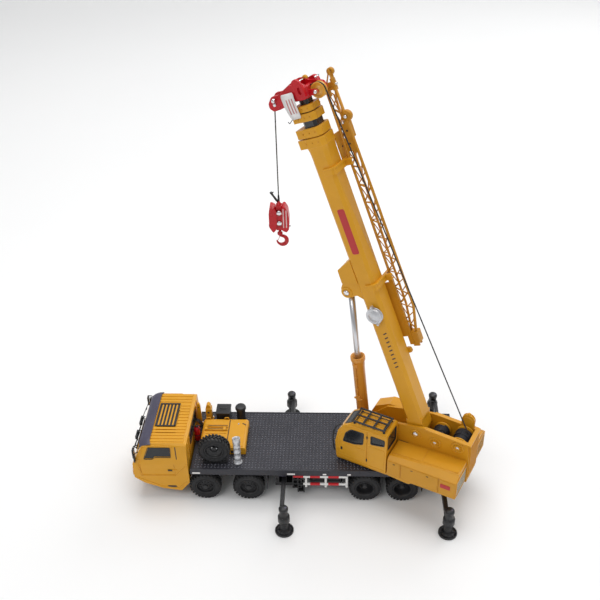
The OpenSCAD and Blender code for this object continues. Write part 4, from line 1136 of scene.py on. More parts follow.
def underframe():
    part = Part("chassis")
    # tank straps and filler
    for x in (-40.5, -32, -23.5):
        part.box(*about(x, 0.6), 16.9, 25.7, 8.8, 20.5, 0.1)
        part.hoop([(4.2, x - 0.6), (4.45, x - 0.6), (4.45, x + 0.6), (4.2, x + 0.6)],
                  (0, -20.6, 13.4), "x", 28)
    part.lathe([(1.3, 20.0), (1.3, 20.55), (TIP, 20.55)], (-42.2, 23.6, 0), "z", 14, cap=False)
    # leaf springs: four curved leaves, a saddle and two hangers
    for x in AXLES:
        for side in SIDES:
            y = side * 10.4
            for i in range(4):
                reach = 7.6 - i * 1.4
                low = 12.5 - i * 0.42
                part.sweep([cross_strip(x + reach * t, *about(y, 0.9),
                                        *about(low + 0.9 * t * t, 0.2))
                            for t in (-1, -0.5, 0, 0.5, 1)], smooth=False)
            part.box(*about(x, 1.3), *about(y, 1.2), 8.8, 13.4, 0.2)
            for shift in (-8, 8):
                part.box(*about(x + shift, 0.8), *about(y, 1.1), 12.8, 20.4, 0.2)
    # prop shafts: x from, x to, radius, height
    for x0, x1, radius, z in ((-36, -10, 1.4, 10.6), (-4, 12, 1.3, 10.4),
                              (-105, -86, 1.3, 10.6)):
        part.lathe([(0.9, x0), (radius, x0 + 2), (radius, x1 - 2), (0.9, x1)],
                   (0, 0, z), "x", 16)
    # air lines along the frame rails
    for z in (18.4, 19.4):
        for side in SIDES:
            part.tube([(x, side * y, z) for x, y in
                       ((-112, 7.5), (-60, 7.8), (-10, 7.5), (36, 7.5))], 0.35, 8)
    # rear towing pintle
    part.lathe([(1.6, 49.8), (1.6, 50.6), (0.9, 51.0), (0.9, 52.2), (TIP, 52.2)],
               (0, 0, 17.5), "x", 18, cap=False)
    part.hoop([(2.1, -0.45), (2.1, 0.45), (1.3, 0.45), (1.3, -0.45)], (52.6, 0, 17.5), "y", 20)
    part.build("underframe_detail", "chassis", slot="dark_metal")


def mudguard_arch(part, x0, x1, y_in, y_out):
    """Sheet over a wheel, dropping at both ends, with a rolled outer lip."""
    steps, top = 10, 21.95
    line = []
    for i in range(steps + 1):
        t = i / steps
        bend = max(0.0, abs(2 * t - 1) - 0.62) ** 1.5
        line.append((x0 + (x1 - x0) * t, top - 0.4 - 2.9 * bend * 3.4))
    part.sweep([cross_strip(x, y_in, y_out, z, z - 0.55) for x, z in line], smooth=False)
    part.tube([(x, y_out, z - 0.35) for x, z in line], 0.42, 8)


def mudguards():
    """Arches, flaps behind two of the axles and a pair of treads on each side."""
    part = Part("black")
    # reach ahead of the axle, reach behind it, inner edge
    arches = ((10.6, 10.9, 16.0), (10.6, 10.9, 16.0), (11.3, 11.5, 14.6), (11.5, 11.4, 14.6))
    for side in SIDES:
        for x, (ahead, behind, inner) in zip(AXLES, arches):
            mudguard_arch(part, x - ahead, x + behind, side * inner, side * 25.3)
        # flaps: thin and slightly bowed
        for x, inner, outer in ((AXLES[3] + 12.2, 15.2, 27.0), (AXLES[1] + 11.6, 16.4, 26.6)):
            rings = []
            for i in range(7):
                z = 20.6 - i * (20.6 - 8.0) / 6
                bow = 0.5 * sin(pi * i / 6)
                rings.append([(a, b, z) for a, b in
                              rect(x - 0.3 + bow, x + 0.3 + bow, *span(side, inner, outer))])
            part.sweep(rings, smooth=False)
        y0, y1 = span(side, 22.0, 26.6)
        for z in (6.0, 11.4):
            part.box(-50.7, -46.2, y0, y1, z, z + 0.9, 0.12)
            for i in range(5):
                part.box(-50.4, -46.5, *about(side * (22.6 + i * 0.85), 0.12),
                         z + 0.85, z + 1.08, 0.03)
        for x in (-50.7, -46.9):
            part.box(x, x + 0.7, y0, y1, 5.4, 20.5, 0.12)
    part.build("mudguard_sheets", "chassis", "mudguards", "black")


def rest_posts():
    """Two posts behind the cab with bolted feet."""
    post = Part("yellow")
    post.prism(round_poly([(-118.6, DECK), (-115.6, DECK), (-115.9, DECK + 16),
                           (-116.5, DECK + 18.6), (-117.7, DECK + 18.6), (-118.3, DECK + 16)],
                          0.5), 13.9, 15.7)
    post.box(-119.0, -115.0, 12.9, 16.7, DECK, DECK + 0.9, 0.2)
    post.box(-113.3, -109.3, 16.9, 21.5, DECK, DECK + 11.4, 0.5)
    post.prism(round_poly([(-112.9, DECK + 11.2), (-109.7, DECK + 11.2), (-109.9, DECK + 13.4),
                           (-110.9, DECK + 14.6), (-111.7, DECK + 14.6),
                           (-112.7, DECK + 13.4)], 0.5), 17.5, 20.9)
    post.box(-114.0, -108.6, 16.2, 22.2, DECK, DECK + 0.8, 0.2)
    # dark discs on the posts: painted shade in their holes
    post.use("print_and_recess_shade")
    post.lathe([(0.75, 16.84), (0.75, 16.7), (TIP, 16.7)], (-111.3, 0, DECK + 8.4), "y", 16,
               cap=False)
    post.lathe([(0.45, 13.86), (0.45, 13.75), (TIP, 13.75)], (-117.1, 0, DECK + 15.6), "y", 14,
               cap=False)
    post.use("silver")
    for x, y in ((-118.4, 13.5), (-115.6, 16.1), (-113.5, 16.7), (-109.1, 21.7)):
        post.lathe([(0.4, 0.7), (0.35, 1.2), (TIP, 1.25)], (x, y, DECK), "z", 6,
                   smooth=False, cap=False)
    post.build("rest_post_pair", "chassis", "rest_posts", "yellow", bevel=0.1, segments=1)


def deck_boxes():
    """Battery box, air cleaner, fuel tank and air tank."""
    part = Part("black")
    part.box(-106, -97.2, 15.6, 24.6, DECK, DECK + 8.2, 0.35)
    part.box(-106.4, -96.8, 15.2, 25, DECK + 8.1, DECK + 9.4, 0.35)
    for i in range(5):
        step = i * 1.5
        part.box(-106.15, -105.95, 17.0 + step, 17.7 + step, DECK + 1.6, DECK + 7.0, 0.05)
        part.box(-104.6 + step, -103.9 + step, 15.42, 15.62, DECK + 1.6, DECK + 7.0, 0.05)
    part.tube([(-103.6, 20, DECK + 9.3), (-103.6, 20, DECK + 10.2), (-99.8, 20, DECK + 10.2),
               (-99.8, 20, DECK + 9.3)], 0.28, 8)
    # air cleaner: a ribbed cap on a drum
    part.lathe([(TIP, 0), (3.1, 0), (2.9, 0.5), (2.9, 3.4), (3.02, 3.5), (3.02, 4.0),
                (2.9, 4.1), (2.9, 8.9), (3.4, 9.3), (3.55, 9.7), (3.55, 11.0), (3.1, 11.7),
                (1.2, 12.1), (TIP, 12.15)], (-90, 20, DECK), "z", 36, cap=False)
    for a in angles(16):
        part.tilted((-90 + 3.5 * cos(a), 20 + 3.5 * sin(a), DECK + 10.3), (0.25, 0.5, 1.1),
                    Matrix.Rotation(a, 4, "Z"), 0.05)
    part.prism(rrect(17.0, 25.5, 9.0, 20.4, 1.8, 5), -44, -20, "yz")
    part.lathe([(TIP, -43), (2.4, -42.7), (3.7, -41.9), (4.2, -40.6), (4.2, -24.4),
                (3.7, -23.1), (2.4, -22.3), (TIP, -22)], (0, -20.6, 13.4), "x", 32, cap=False)
    part.build("deck_boxes", "chassis", "deck_units", "black", bevel=0.1, segments=1)


side_guards()
boarding_ladders()
underframe()
mudguards()
rest_posts()
deck_boxes()


# ================================================================ UPPER STRUCTURE
# profile of the operator cab's bent front face: z, x
CAB_FRONT = ((28.05, -16.2), (40, -17), (49.8, -15), (55, -11.6), (58.6, -5.5))
DOOR_WINDOW = [(-11.2, 42.6), (-9.6, 49.6), (-6, 53.6), (2.2, 54), (1.8, 45), (-4, 43)]
REAR_SIDE_WINDOW = [(7.4, 47.6), (7.4, 53.8), (16, 53.8), (16, 49.4)]
FAR_WINDOW = [(-9, 42.6), (-7, 53.6), (14, 54), (14, 43)]
DOOR = [(-15.3, 30.2), (4.25, 30.2), (4.25, 55.6), (-6.6, 55.6), (-10.9, 53.4),
        (-13.9, 48.6), (-15.8, 40)]


def cab_front_x(z):
    for (z0, x0), (z1, x1) in zip(CAB_FRONT, CAB_FRONT[1:]):
        if z <= z1:
            return x0 + (x1 - x0) * (z - z0) / (z1 - z0)
    return CAB_FRONT[-1][1]


def bent_outline(y0, y1, z0, z1):
    """Rectangle with points at the bends of the front face."""
    return [(y0, z0), (y1, z0), (y1, 40), (y1, 45), (y1, z1), (y0, z1), (y0, 45), (y0, 40)]


def operator_gaskets():
    part = Part("black", UPPER)
    for window, y0, y1 in ((DOOR_WINDOW, -25.98, -25.2), (REAR_SIDE_WINDOW, -25.98, -25.2),
                           (FAR_WINDOW, -9.9, -9.2)):
        part.frame(round_poly(inset(window, -0.9), 1.3), round_poly(inset(window, 0.5), 0.9),
                   y0, y1, "xz")
    part.frame(bent_outline(-24.5, -10.7, 35.7, 49.5), bent_outline(-24.0, -11.2, 36.2, 49.0),
               -0.7, 0.2, lambda p, out: (cab_front_x(p[1]) - out, p[0], p[1]))
    part.frame(rrect(-23.9, -11.3, 44.7, 55.8, 1.2), rrect(-23.4, -11.8, 45.2, 55.3, 0.9),
               16.9, 17.82, "yz")
    part.build("cab_gaskets", "upper", slot="black", bevel=0.08)


def brow_place(p, out):
    """Puts (y, share of the way up the brow) a distance out from the sloped brow."""
    return (-11.3 + 5.4 * p[1] - 0.51 * out, p[0], 55.18 + 3.2 * p[1] + 0.86 * out)


def operator_brow():
    """Upper windscreen on the sloped brow, and the wiper of the front window."""
    part = Part("glass", UPPER)
    part.slab(rrect(-23.6, -11.6, 0.10, 0.88, 0.12), -0.2, 0.14, brow_place)
    part.use("black").frame(rrect(-23.9, -11.3, 0.03, 0.95, 0.14),
                            rrect(-23.3, -11.9, 0.14, 0.84, 0.12), -0.2, 0.24, brow_place)
    part.tube([(-17.3, -17.5, 36.4), (-17.75, -17.0, 37.2), (-17.5, -15.2, 44.5)], 0.2, 8)
    part.tilted((-17.35, -14.9, 42.2), (0.25, 0.3, 6.4), turn(-6, "X"), 0.05)
    part.build("cab_brow_glass", "upper", slot="glass", bevel=0.05)


def operator_skin():
    """Door skin, side panels, drip rail, roof pressing and sill."""
    skin = Part("yellow", UPPER)
    skin.frame(round_poly(DOOR, 1.4), round_poly(inset(DOOR, 2.2), 1.2), -26.0, -25.72, "xz")
    skin.prism(rrect(-14.2, 3.2, 31.3, 40.6, 1.2, 4), -25.97, -25.7)
    skin.prism(rrect(6.2, 16.4, 30.2, 45.6, 1.2, 4), -25.97, -25.7)
    skin.tube(spline([(-11.8, -25.55, 54.9), (-8.4, -25.75, 56.3), (-3.2, -25.8, 57.0),
                      (6, -25.8, 57.0), (17.4, -25.75, 56.9)], 5), 0.32, 8)
    skin.prism(rrect(-3.6, 15.4, -23.2, -11.6, 1.4, 4), 58.5, 59.0, "xy")
    for y in (-20.6, -17.5, -14.4):
        skin.box(-2.4, 14.2, *about(y, 0.35), 58.9, 59.35, 0.12)
    skin.box(-16.0, 17.4, -26.05, -25.6, 28.1, 29.3, 0.15)
    skin.build("cab_skin", "upper", slot="yellow", bevel=0.1)


def operator_fittings():
    """Door handle, hinges and the seal line under the cab."""
    part = Part("black", UPPER)
    part.prism(rrect(-13.0, -11.8, 34.9, 37.2, 0.4), -26.12, -25.8)
    part.tube([(-12.4, -26.1, 35.3), (-12.4, -26.42, 35.7), (-12.4, -26.42, 36.5),
               (-12.4, -26.1, 36.9)], 0.16, 8)
    for z in (33.2, 51.8):
        part.lathe(mirrored([(0.34, -0.9), (0.38, -0.7)]), (4.75, -26.0, z), "z", 12)
    part.box(-15.8, 17.2, -25.6, -9.6, 27.7, 28.1, 0.1)
    part.build("cab_fittings", "upper", slot="black")


def operator_interior():
    """Seat and console behind the glass."""
    part = Part("black", UPPER)
    part.box(-2.5, 5.5, -21.5, -13.5, 30, 37, 0.8)
    part.tilted((8.2, -15.5, 40.0), (2.0, 6.6, 10), turn(12, "Y"), 0.8)
    part.tilted((-10.5, -17.5, 35.0), (3, 6, 6), turn(-20, "Y"), 0.5)
    part.build("cab_interior", "upper", slot="black")


cad("operator_cab", "yellow", 0.3, 3)
cad("operator_glass", "glass")
operator_gaskets()
operator_brow()
operator_skin()
operator_fittings()
operator_interior()


def roof_guard():
    """Flat bars crossing over the cab roof on feet, with a rail by the front corner post."""
    guard = Part("black", UPPER)
    cross_x, long_y = (-5.4, 1.3, 8.2, 15.2), (-25.0, -18.8, -12.6)
    for x in cross_x:
        guard.box(*about(x, 0.55), -25.6, -12.0, 60.35, 61.15, 0.16)
    for y in long_y:
        guard.box(-6.2, 16.0, *about(y, 0.5), 60.5, 61.3, 0.16)
    # second rail a step inside the outer one
    for y in (-23.6, -14.0):
        guard.box(-4.9, 14.8, *about(y, 0.22), 59.7, 60.1, 0.1)
    for x in (-4.2, 14.0):
        guard.box(*about(x, 0.22), -24.2, -13.2, 59.7, 60.1, 0.1)
    for x in (-4.5, 15.0):
        for y in (-24.2, -12.6):
            guard.tube([(x, y, 58.55), (x, y, 59.6), (x, y, 60.6)], 0.36, 10)
            guard.lathe([(0.8, -0.1), (0.8, 0.2), (0.5, 0.35)], (x, y, 58.6), "z", 14)
    for x in cross_x:
        for y in long_y:
            guard.lathe([(0.3, -0.1), (0.3, 0.12), (0.18, 0.24)], (x, y, 61.05), "z", 10)
    guard.tube(spline([
        (-12.6, -24.6, 54.2), (-14.2, -24.75, 54.0), (-16.9, -24.8, 50.8),
        (-18.6, -24.8, 45.5), (-18.9, -24.8, 39.5), (-18.3, -24.8, 33.2),
        (-17.7, -24.75, 31.5), (-16.2, -24.6, 31.2)], 5), 0.42, 10)
    for x, z in ((-17.3, 44.9), (-17.6, 35.5)):
        guard.tube([(x + 0.6, -24.7, z), (x - 1.4, -24.8, z + 0.1)], 0.3, 8)
    guard.build("cab_guard", "upper", replaces="cab_rails", slot="black")


roof_guard()


def covers():
    cad("side_covers", "yellow_deep", 0.35, 3)
    cad("turntable", "yellow_deep", 0.25)
    panels = Part("yellow_deep", UPPER)
    for side in SIDES:
        for x0, x1 in ((19.1, 26.7), (27.9, 51.0), (52.3, 61.9)):
            panels.prism(rrect(x0, x1, 28.9, 39.2, 0.7), *span(side, 25.7, 26.02))
    for side in SIDES:
        # folded edge strips along the chamfer
        panels.tube([(18.7, side * 25.72, 39.85), (62.2, side * 25.72, 39.85)], 0.22, 8)
        panels.tube([(18.7, side * 21.4, 41.75), (62.2, side * 21.35, 43.35)], 0.2, 8)
        # top lids rise with the cover
        for x0, x1 in ((19.4, 38.4), (39.2, 61.4)):
            panels.slab(rrect(x0, x1, 9.6, 20.4, 1.0), -0.5, 0.28, lambda p, up: (
                p[0], side * p[1], 41.62 + (p[0] - 18.5) * 0.0437 + up))
    panels.build("cover_panels", "upper", slot="yellow_deep", bevel=0.1)

    latches = Part("seam", UPPER)
    for side in SIDES:
        for x in (23.0, 34.5, 44.5):
            latches.prism(rrect(*about(x, 0.7), 37.4, 38.1, 0.3), *span(side, 25.9, 26.1))
        # dark joint between cover and side plate
        latches.box(18.6, 62.3, *about(side * 8.5, 0.18), 40.6, 41.9, 0.05)
    latches.build("cover_latches", "upper", slot="black")

    plate = Part("red_plate", UPPER)
    plate.prism(rrect(52.9, 59.1, 33.3, 36.4, 0.5, 4), -26.25, -25.95)
    plate.build("cover_plate", "upper", slot="red", bevel=0.06)


def rear_louvres():
    part = Part("grille", UPPER)
    for side in SIDES:
        y0, y1 = span(side, 8.9, 24.8)
        part.use("grille").box(62.42, 62.6, y0, y1, 28.4, 39.9, 0.05)
        part.use("yellow_deep").frame(
            rrect(y0 - 0.5, y1 + 0.5, 27.9, 40.4, 0.6),
            rrect(y0 + 0.25, y1 - 0.25, 28.7, 39.5, 0.5), 62.4, 62.85, "yz")
        part.use("slat" if side < 0 else "yellow_deep")
        for i in range(5):
            part.tilted((62.68, (y0 + y1) / 2, 30.0 + i * 2.15), (0.26, y1 - y0 - 0.9, 1.1),
                        turn(6, "Y"), 0.06)
    part.build("rear_louvres", "upper", replaces="rear_grille", slot="black")


covers()
rear_louvres()

# winch shafts: x, z in the upper frame
MAIN_WINCH, AUX_WINCH = (55.9, 51.3), (41.7, 49.3)


def bay_rims():
    """Folded lips, weld beads, tail wall ribs and the lug over the rear winch."""
    part = Part("yellow_deep", UPPER)
    for side in SIDES:
        part.prism([(35.2, 56.7), (35.2, 57.75), (62.9, 56.45), (62.9, 55.4)],
                   *span(side, 6.5, 9.1))
        part.tube([(-13.6, side * 8.45, 28.45), (18, side * 8.45, 28.45)], 0.32, 8)
        part.tube([(-13.8, side * 6.55, 28.5), (44, side * 6.55, 28.5)], 0.32, 8)
    part.prism([(61.3, 55.2), (61.3, 56.5), (64.0, 56.3), (64.0, 55.0)], -8.9, 8.9)
    for y in (-6.6, -4.4, -2.2, 0, 2.2, 4.4, 6.6):
        part.box(63.3, 64.1, *about(y, 0.35), 29.2, 54.6, 0.15)
    # two skins, a boss and a crown
    lug = round_poly([(52.4, 54.6), (60.2, 54.6), (60.4, 62.2), (58.9, 64.9), (56.3, 65.6),
                      (53.7, 64.9), (52.2, 62.2)], 1.3)
    part.prism(lug, 6.45, 7.0)
    part.prism(lug, 8.1, 8.6)
    part.lathe([(2.5, 6.0), (2.7, 6.2), (2.7, 8.9), (2.5, 9.1)], (56.3, 0, 61.2), "y", 28)
    part.lathe([(0.9, 6.7), (1.1, 6.9), (1.1, 8.2), (0.9, 8.4)], (56.3, 0, 65.2), "y", 18)
    part.build("bay_rims", "upper", slot="yellow_deep", bevel=0.12)


def bay_bolts():
    """Bearing plates of the winch shafts and collars of the boom foot pin, with bolts."""
    part = Part("yellow_deep", UPPER)
    for side in SIDES:
        face = side * 8.3
        for (x, z), radius in ((MAIN_WINCH, 3.6), (AUX_WINCH, 3.4)):
            part.lathe([(radius + 0.5, face - side * 0.1), (radius + 0.5, face + side * 0.35),
                        (radius + 0.25, face + side * 0.5), (2.3, face + side * 0.5),
                        (2.3, face - side * 0.1)], (x, 0, z), "y", 36)
            for a in angles(6):
                part.bolt((x + 3.0 * cos(a + 0.3), face + side * 0.5, z + 3.0 * sin(a + 0.3)),
                          "y", 0.38, side * 0.4)
        for shift in (-0.9, 0.9):
            part.bolt((17.9 + shift, face, 46.5 + 0.2 * shift), "y", 0.42, side * 0.4)
    for side in SIDES:
        face = side * 8.3
        part.lathe([(3.2, face - side * 0.1), (3.2, face + side * 0.45),
                    (2.9, face + side * 0.7), (1.9, face + side * 0.7),
                    (1.9, face - side * 0.1)], (PIVOT_X, 0, PIVOT_Z), "y", 32)
        part.bolt((PIVOT_X + 3.7, face, PIVOT_Z - 1.2), "y", 0.5, side * 0.45)
    part.build("bay_bolts", "upper", slot="yellow_deep")


def pin_caps():
    part = Part("silver", UPPER)
    for side in SIDES:
        part.lathe(facing([(1.78, 8.9), (1.78, 9.4), (1.45, 9.62), (0.9, 9.72), (0.3, 9.75)],
                          side), (PIVOT_X, 0, PIVOT_Z), "y", 28)
    for x, z in (MAIN_WINCH, AUX_WINCH):
        for side in SIDES:
            part.lathe(facing([(1.2, 9.0), (1.0, 9.18), (0.4, 9.25)], side), (x, 0, z), "y", 24)
    part.build("pin_caps", "upper", slot="silver")
    cad("pivot_pins", "silver", 0.15)


def counterweight():
    """Stacked slabs between the plates, with two lifting loops."""
    part = Part("chassis", UPPER)
    for i in range(4):
        z = 28.5 + i * 4.05
        part.box(46.1, 61.7, -6.5, 6.5, z, z + 3.8, 0.35)
    part.box(47, 60.8, -6.1, 6.1, 28.6, 44.3, 0.1)
    for y in (-3.6, 3.6):
        part.tube([(52.4, y, 44.4), (52.4, y, 45.4), (53.4, y, 46.0), (54.4, y, 45.4),
                   (54.4, y, 44.4)], 0.35, 8)
    part.build("counterweight_slabs", "upper", replaces="counterweight", slot="dark_metal")


def slewing_ring():
    """Bolts on the carrier and a skirt under the turning platform."""
    bolts = Part("black")
    for a in angles(30):
        bolts.bolt((15.85 * cos(a), 15.85 * sin(a), DECK + 0.6), "z", 0.42, 0.4)
    bolts.build("ring_bolts", "chassis", slot="black")
    skirt = Part("black", UPPER)
    skirt.lathe([(17.2, 26.15), (18.25, 26.3), (18.25, 26.7), (18.0, 26.9)], (0, 0, 0), "z", 72)
    skirt.build("ring_skirt", "upper", slot="black")


bay_rims()
bay_bolts()
pin_caps()
counterweight()
slewing_ring()


def winch(name, node, body, shaft, core, flange, rope_radius, phase):
    """Flanged drum with rope laid on it as one helix and a second, part-filled layer."""
    x, z = shaft
    drum = Part("yellow", UPPER)
    drum.lathe(mirrored([
        (1.2, -9.0), (1.2, -6.62), (2.4, -6.6), (2.7, -6.35), (2.7, -6.2), (flange - 1.2, -6.2),
        (flange - 0.9, -6.0), (flange - 0.25, -6.2), (flange, -6.05), (flange, -5.55),
        (flange - 0.35, -5.3), (core + 0.3, -5.3), (core, -5.15)]), (x, 0, z), "y", 56)
    drum.build(name, body, replaces=node, slot="yellow")
    rope = Part("cord", UPPER)
    # turns, y at the start, y travelled, direction, radius of the lay, cord radius
    for turns, y_start, travel, way, radius, thick in (
            (9, -4.75, 9.5, 1, rope_radius, 0.55),
            (5, 4.3, -5.3, -1, rope_radius + 0.72, 0.5)):
        steps = turns * 30
        path = []
        for i in range(steps + 1):
            a = way * 2 * pi * i / 30 + phase
            path.append((x + radius * cos(a), y_start + travel * i / steps, z + radius * sin(a)))
        rope.tube(path, thick, 8)
    rope.build(name + "_rope", body, slot="rope")


winch("winch_main", "main_drum", "drum_main", MAIN_WINCH,
      core=3.95, flange=5.85, rope_radius=4.45, phase=0.4)
winch("winch_aux", "aux_drum", "drum_aux", AUX_WINCH,
      core=3.25, flange=5.0, rope_radius=3.7, phase=1.3)


# ================================================================ BOOM
def section(width, height, cut):
    """Boom cross-section (y, z) with cut and rounded corners."""
    w, low, high = width / 2, BOOM_MID - height / 2, BOOM_MID + height / 2
    return round_poly([
        (-w, low + cut * 0.9), (-w + cut * 0.7, low), (w - cut * 0.7, low), (w, low + cut * 0.9),
        (w, high - cut), (w - cut, high), (-w + cut, high), (-w, high - cut)], 0.7, 3)


def band(part, stations, inner):
    """Band round the boom: (x, width, height, cut) outside, one section inside."""
    rings = [[(x, y, z) for y, z in section(*size)] for x, *size in stations]
    rings += [[(x, y, z) for y, z in section(*inner)] for x in (stations[-1][0], stations[0][0])]
    part.sweep(rings, loop=True, smooth=False)


def boom_tubes():
    cad("boom_base", "yellow", 0.32, 3)
    cad("boom_section_2", "yellow", 0.22, 3)
    # the next two are black with a yellow collar beyond a given x
    for node, collar_x in (("boom_section_3", 200.05), ("boom_section_4", 204.9)):
        tube = cad(node, "gloss_black", 0.2)
        tube.data.materials.append(MAT["yellow"])
        for poly in tube.data.polygons:
            if (TO_BOOM @ ((tube.matrix_world @ poly.center) / MM)).x > collar_x:
                poly.material_index = 1
    cad("boom_section_5", "gloss_black", 0.2)


def boom_straps():
    """Flare and rolled edges of the first collar, weld beads and the stowed jib's carriers."""
    part = Part("yellow", BOOM)
    band(part, [(180.2, 12.66, 11.06, 1.8), (183.6, 12.95, 11.5, 1.85),
                (185.2, 13.4, 12.1, 1.95), (186.05, 13.85, 12.65, 2.0)], (12.5, 10.9, 1.8))
    band(part, [(189.9, 13.82, 12.62, 2), (190.1, 14.05, 12.85, 2.05),
                (190.8, 14.05, 12.85, 2.05), (191.05, 13.85, 12.65, 2)], (13.5, 12.3, 1.9))
    band(part, [(185.9, 13.82, 12.62, 2), (186.1, 14.0, 12.8, 2.05),
                (186.7, 14.0, 12.8, 2.05), (186.9, 13.82, 12.62, 2)], (13.5, 12.3, 1.9))
    for side in SIDES:
        part.tube([(12, side * 6.22, -2.75), (180, side * 6.22, -2.75)], 0.16, 6)
    # carrier: strap over the near corner and the top, a raised rim, a fork
    strap = [(-7.1, 0.9), (-7.1, 5.75), (-5.35, 8.0), (12.3, 8.0), (12.3, 6.5), (-4.7, 6.5),
             (-6.2, 5.0), (-6.2, 0.9)]
    rim_line = [(-7.5, 1.6), (-7.5, 5.95), (-5.55, 8.4), (12.3, 8.4), (12.3, 7.6),
                (-5.2, 7.6), (-6.9, 5.6), (-6.9, 1.6)]
    for x in (98.4, 169.4):
        part.prism(strap, x - 0.05, x + 4.05, "yz")
        part.prism(rim_line, x + 3.2, x + 4.1, "yz")
        part.box(x + 0.3, x + 1.3, 5.2, 7.2, 7.6, 12.0, 0.2)
        part.box(x + 2.8, x + 3.8, 5.2, 7.2, 7.6, 12.0, 0.2)
    part.build("boom_straps", "boom_1", slot="yellow", bevel=0.14)


def boom_brackets():
    """Plate beside the jib near the head, and a small lug near the foot."""
    part = Part("yellow_deep", BOOM)
    # the plate's deeper yellow is painted shade, as it lies under the jib
    part.prism(rrect(172.6, 187.7, 5.6, 12.9, 0.8), 6.35, 7.2, "xy")
    part.use("seam").lathe([(0.55, 7.1), (0.55, 7.35), (0.3, 7.45)], (179.4, 9.4, 0), "z", 14)
    part.use("yellow_deep").prism(
        round_poly([(49.6, 5.8), (53.6, 5.8), (53.2, 8.6), (50.4, 9.0)], 0.7, 3), 4.6, 6.4)
    part.build("boom_brackets", "boom_1", slot="yellow", bevel=0.1)


CLEVIS = (98.5, 0, -13.5)            # lift cylinder pin, boom frame


def clevis():
    """Lift cylinder clevis: boxed fairing, round bosses, fillet plates and pin caps."""
    fairing = Part("yellow", BOOM)
    cheek = round_poly([(118.7, -4.0), (113.3, -14.1), (104.5, -14.4), (103.1, -4.0)], 0.6, 3)
    for side in SIDES:
        fairing.prism(cheek, *span(side, 5.1, 5.75))
        fairing.lathe(facing([(3.55, 5.0), (3.55, 5.5), (3.25, 5.85), (2.2, 5.85), (2.05, 5.5)],
                             side), CLEVIS, "y", 36)
        fairing.prism([(96.0, -3.9), (103.2, -3.9), (104.4, -12.6), (102.0, -14.6),
                       (95.3, -12.0)], *span(side, 5.0, 5.3))
    fairing.build("clevis_fairing", "boom_1", slot="yellow", bevel=0.16)
    pins = Part("silver", BOOM)
    for side in SIDES:
        pins.lathe(facing([(1.7, 5.2), (1.7, 6.15), (1.4, 6.45), (0.7, 6.55), (0.15, 6.58)],
                          side), CLEVIS, "y", 28)
    pins.build("clevis_pins", "boom_1", slot="silver")


def boom_markings():
    """Plain red plate and slanted dark dashes on both sides."""
    plates = Part("red_plate", BOOM)
    for side in SIDES:
        plates.prism(rrect(122, 149.5, 0.1, 4.6, 1.3, 4), *span(side, 6.25, 6.46))
    plates.build("boom_plates", "boom_1", slot="red", bevel=0.05)
    dashes = Part("print_and_recess_shade", BOOM)
    for side in SIDES:
        for i in range(9):
            dashes.tilted((47.2 + i * 2.85, side * 6.31, 2.3), (0.75, 0.10, 2.5), turn(22, "Y"))
    dashes.build("boom_dashes", "boom_1", slot="black")


def boom_collars():
    # bolts: x, collar width, body, suffix
    for x, width, body, suffix in ((188.5, 13.8, "boom_1", "a"), (194.0, 13.4, "boom_2", "b"),
                                   (202.3, 12.8, "boom_3", "c"), (206.7, 12.0, "boom_4", "d")):
        bolts = Part("yellow_deep", BOOM)
        for side in SIDES:
            for z in (-3.6, 0.4, 4.0):
                bolts.bolt((x, side * (width / 2), z), "y", 0.42, side * 0.42)
        for y in (-3.4, 3.4):
            bolts.bolt((x, y, BOOM_MID + (width - 1.3) / 2 - 0.05), "z", 0.42, 0.4)
        bolts.build("collar_bolts_" + suffix, body, slot="yellow")
    # rims: x of the front, outer width and height, width and height of the opening, number
    for x, width, height, gap_width, gap_height, number in (
            (196.4, 13.4, 12.2, 10.3, 8.7, 2), (204.4, 12.8, 11.4, 9.0, 7.4, 3),
            (208.4, 12.0, 10.4, 7.6, 6.0, 4)):
        rims = Part("yellow", BOOM)
        flush = (width + 0.02, height + 0.02, 2)
        proud = (width + 0.22, height + 0.22, 2.05)
        band(rims, [(x - 1.1, *flush), (x - 0.95, *proud), (x - 0.25, *proud),
                    (x + 0.03, *flush)], (width - 0.4, height - 0.4, 1.9))
        # front face, leaving a dark gap round the next tube
        face = (gap_width + 1.6, gap_height + 1.6, 1.7)
        band(rims, [(x - 0.6, *face), (x + 0.05, *face)],
             (gap_width + 0.02, gap_height + 0.02, 1.3))
        rims.build(f"collar_rims_{number}", f"boom_{number}", slot="yellow", bevel=0.06)


boom_tubes()
boom_straps()
boom_brackets()
clevis()
boom_markings()
boom_collars()


def cable_reel():
    """Reel on the near side with a raised rim, two lugs and two turns of cable."""
    x, z = 83.4, 1.1
    part = Part("alu", BOOM)
    part.lathe([
        (1.3, -6.25), (1.3, -6.95), (4.7, -7.0), (4.95, -7.15), (4.95, -7.45), (4.7, -7.6),
        (3.6, -7.7), (3.5, -8.4), (4.7, -8.6), (5.0, -8.75), (5.0, -9.15), (4.75, -9.35),
        (4.3, -9.3), (4.0, -9.1), (3.5, -9.3), (2.6, -9.75), (1.5, -10.05), (0.5, -10.15),
        (0.1, -10.15)], (x, 0, z), "y", 56)
    part.tube([(x + 4.55 * sin(radians(a)), -9.55, z + 4.55 * cos(radians(a)))
               for a in range(-75, 80, 8)], 0.42, 10)
    for lug_x, lug_z in ((x + 5.6, z + 0.2), (x - 5.3, z + 0.6)):
        part.box(*about(lug_x, 0.85), -9.6, -7.2, *about(lug_z, 0.6), 0.25)
        part.lathe([(0.4, -9.5), (0.4, -9.9), (0.2, -10.0)], (lug_x, 0, lug_z), "y", 12)
    part.build("boom_reel", "boom_1", replaces="cable_reel", slot="silver")
    cable = Part("cord", BOOM)
    cable.tube([(x + 3.75 * cos(2 * pi * i / 30), -7.75 - 0.55 * i / 60,
                 z + 3.75 * sin(2 * pi * i / 30)) for i in range(61)], 0.24, 8)
    cable.build("boom_reel_cable", "boom_1", slot="rope")


cable_reel()

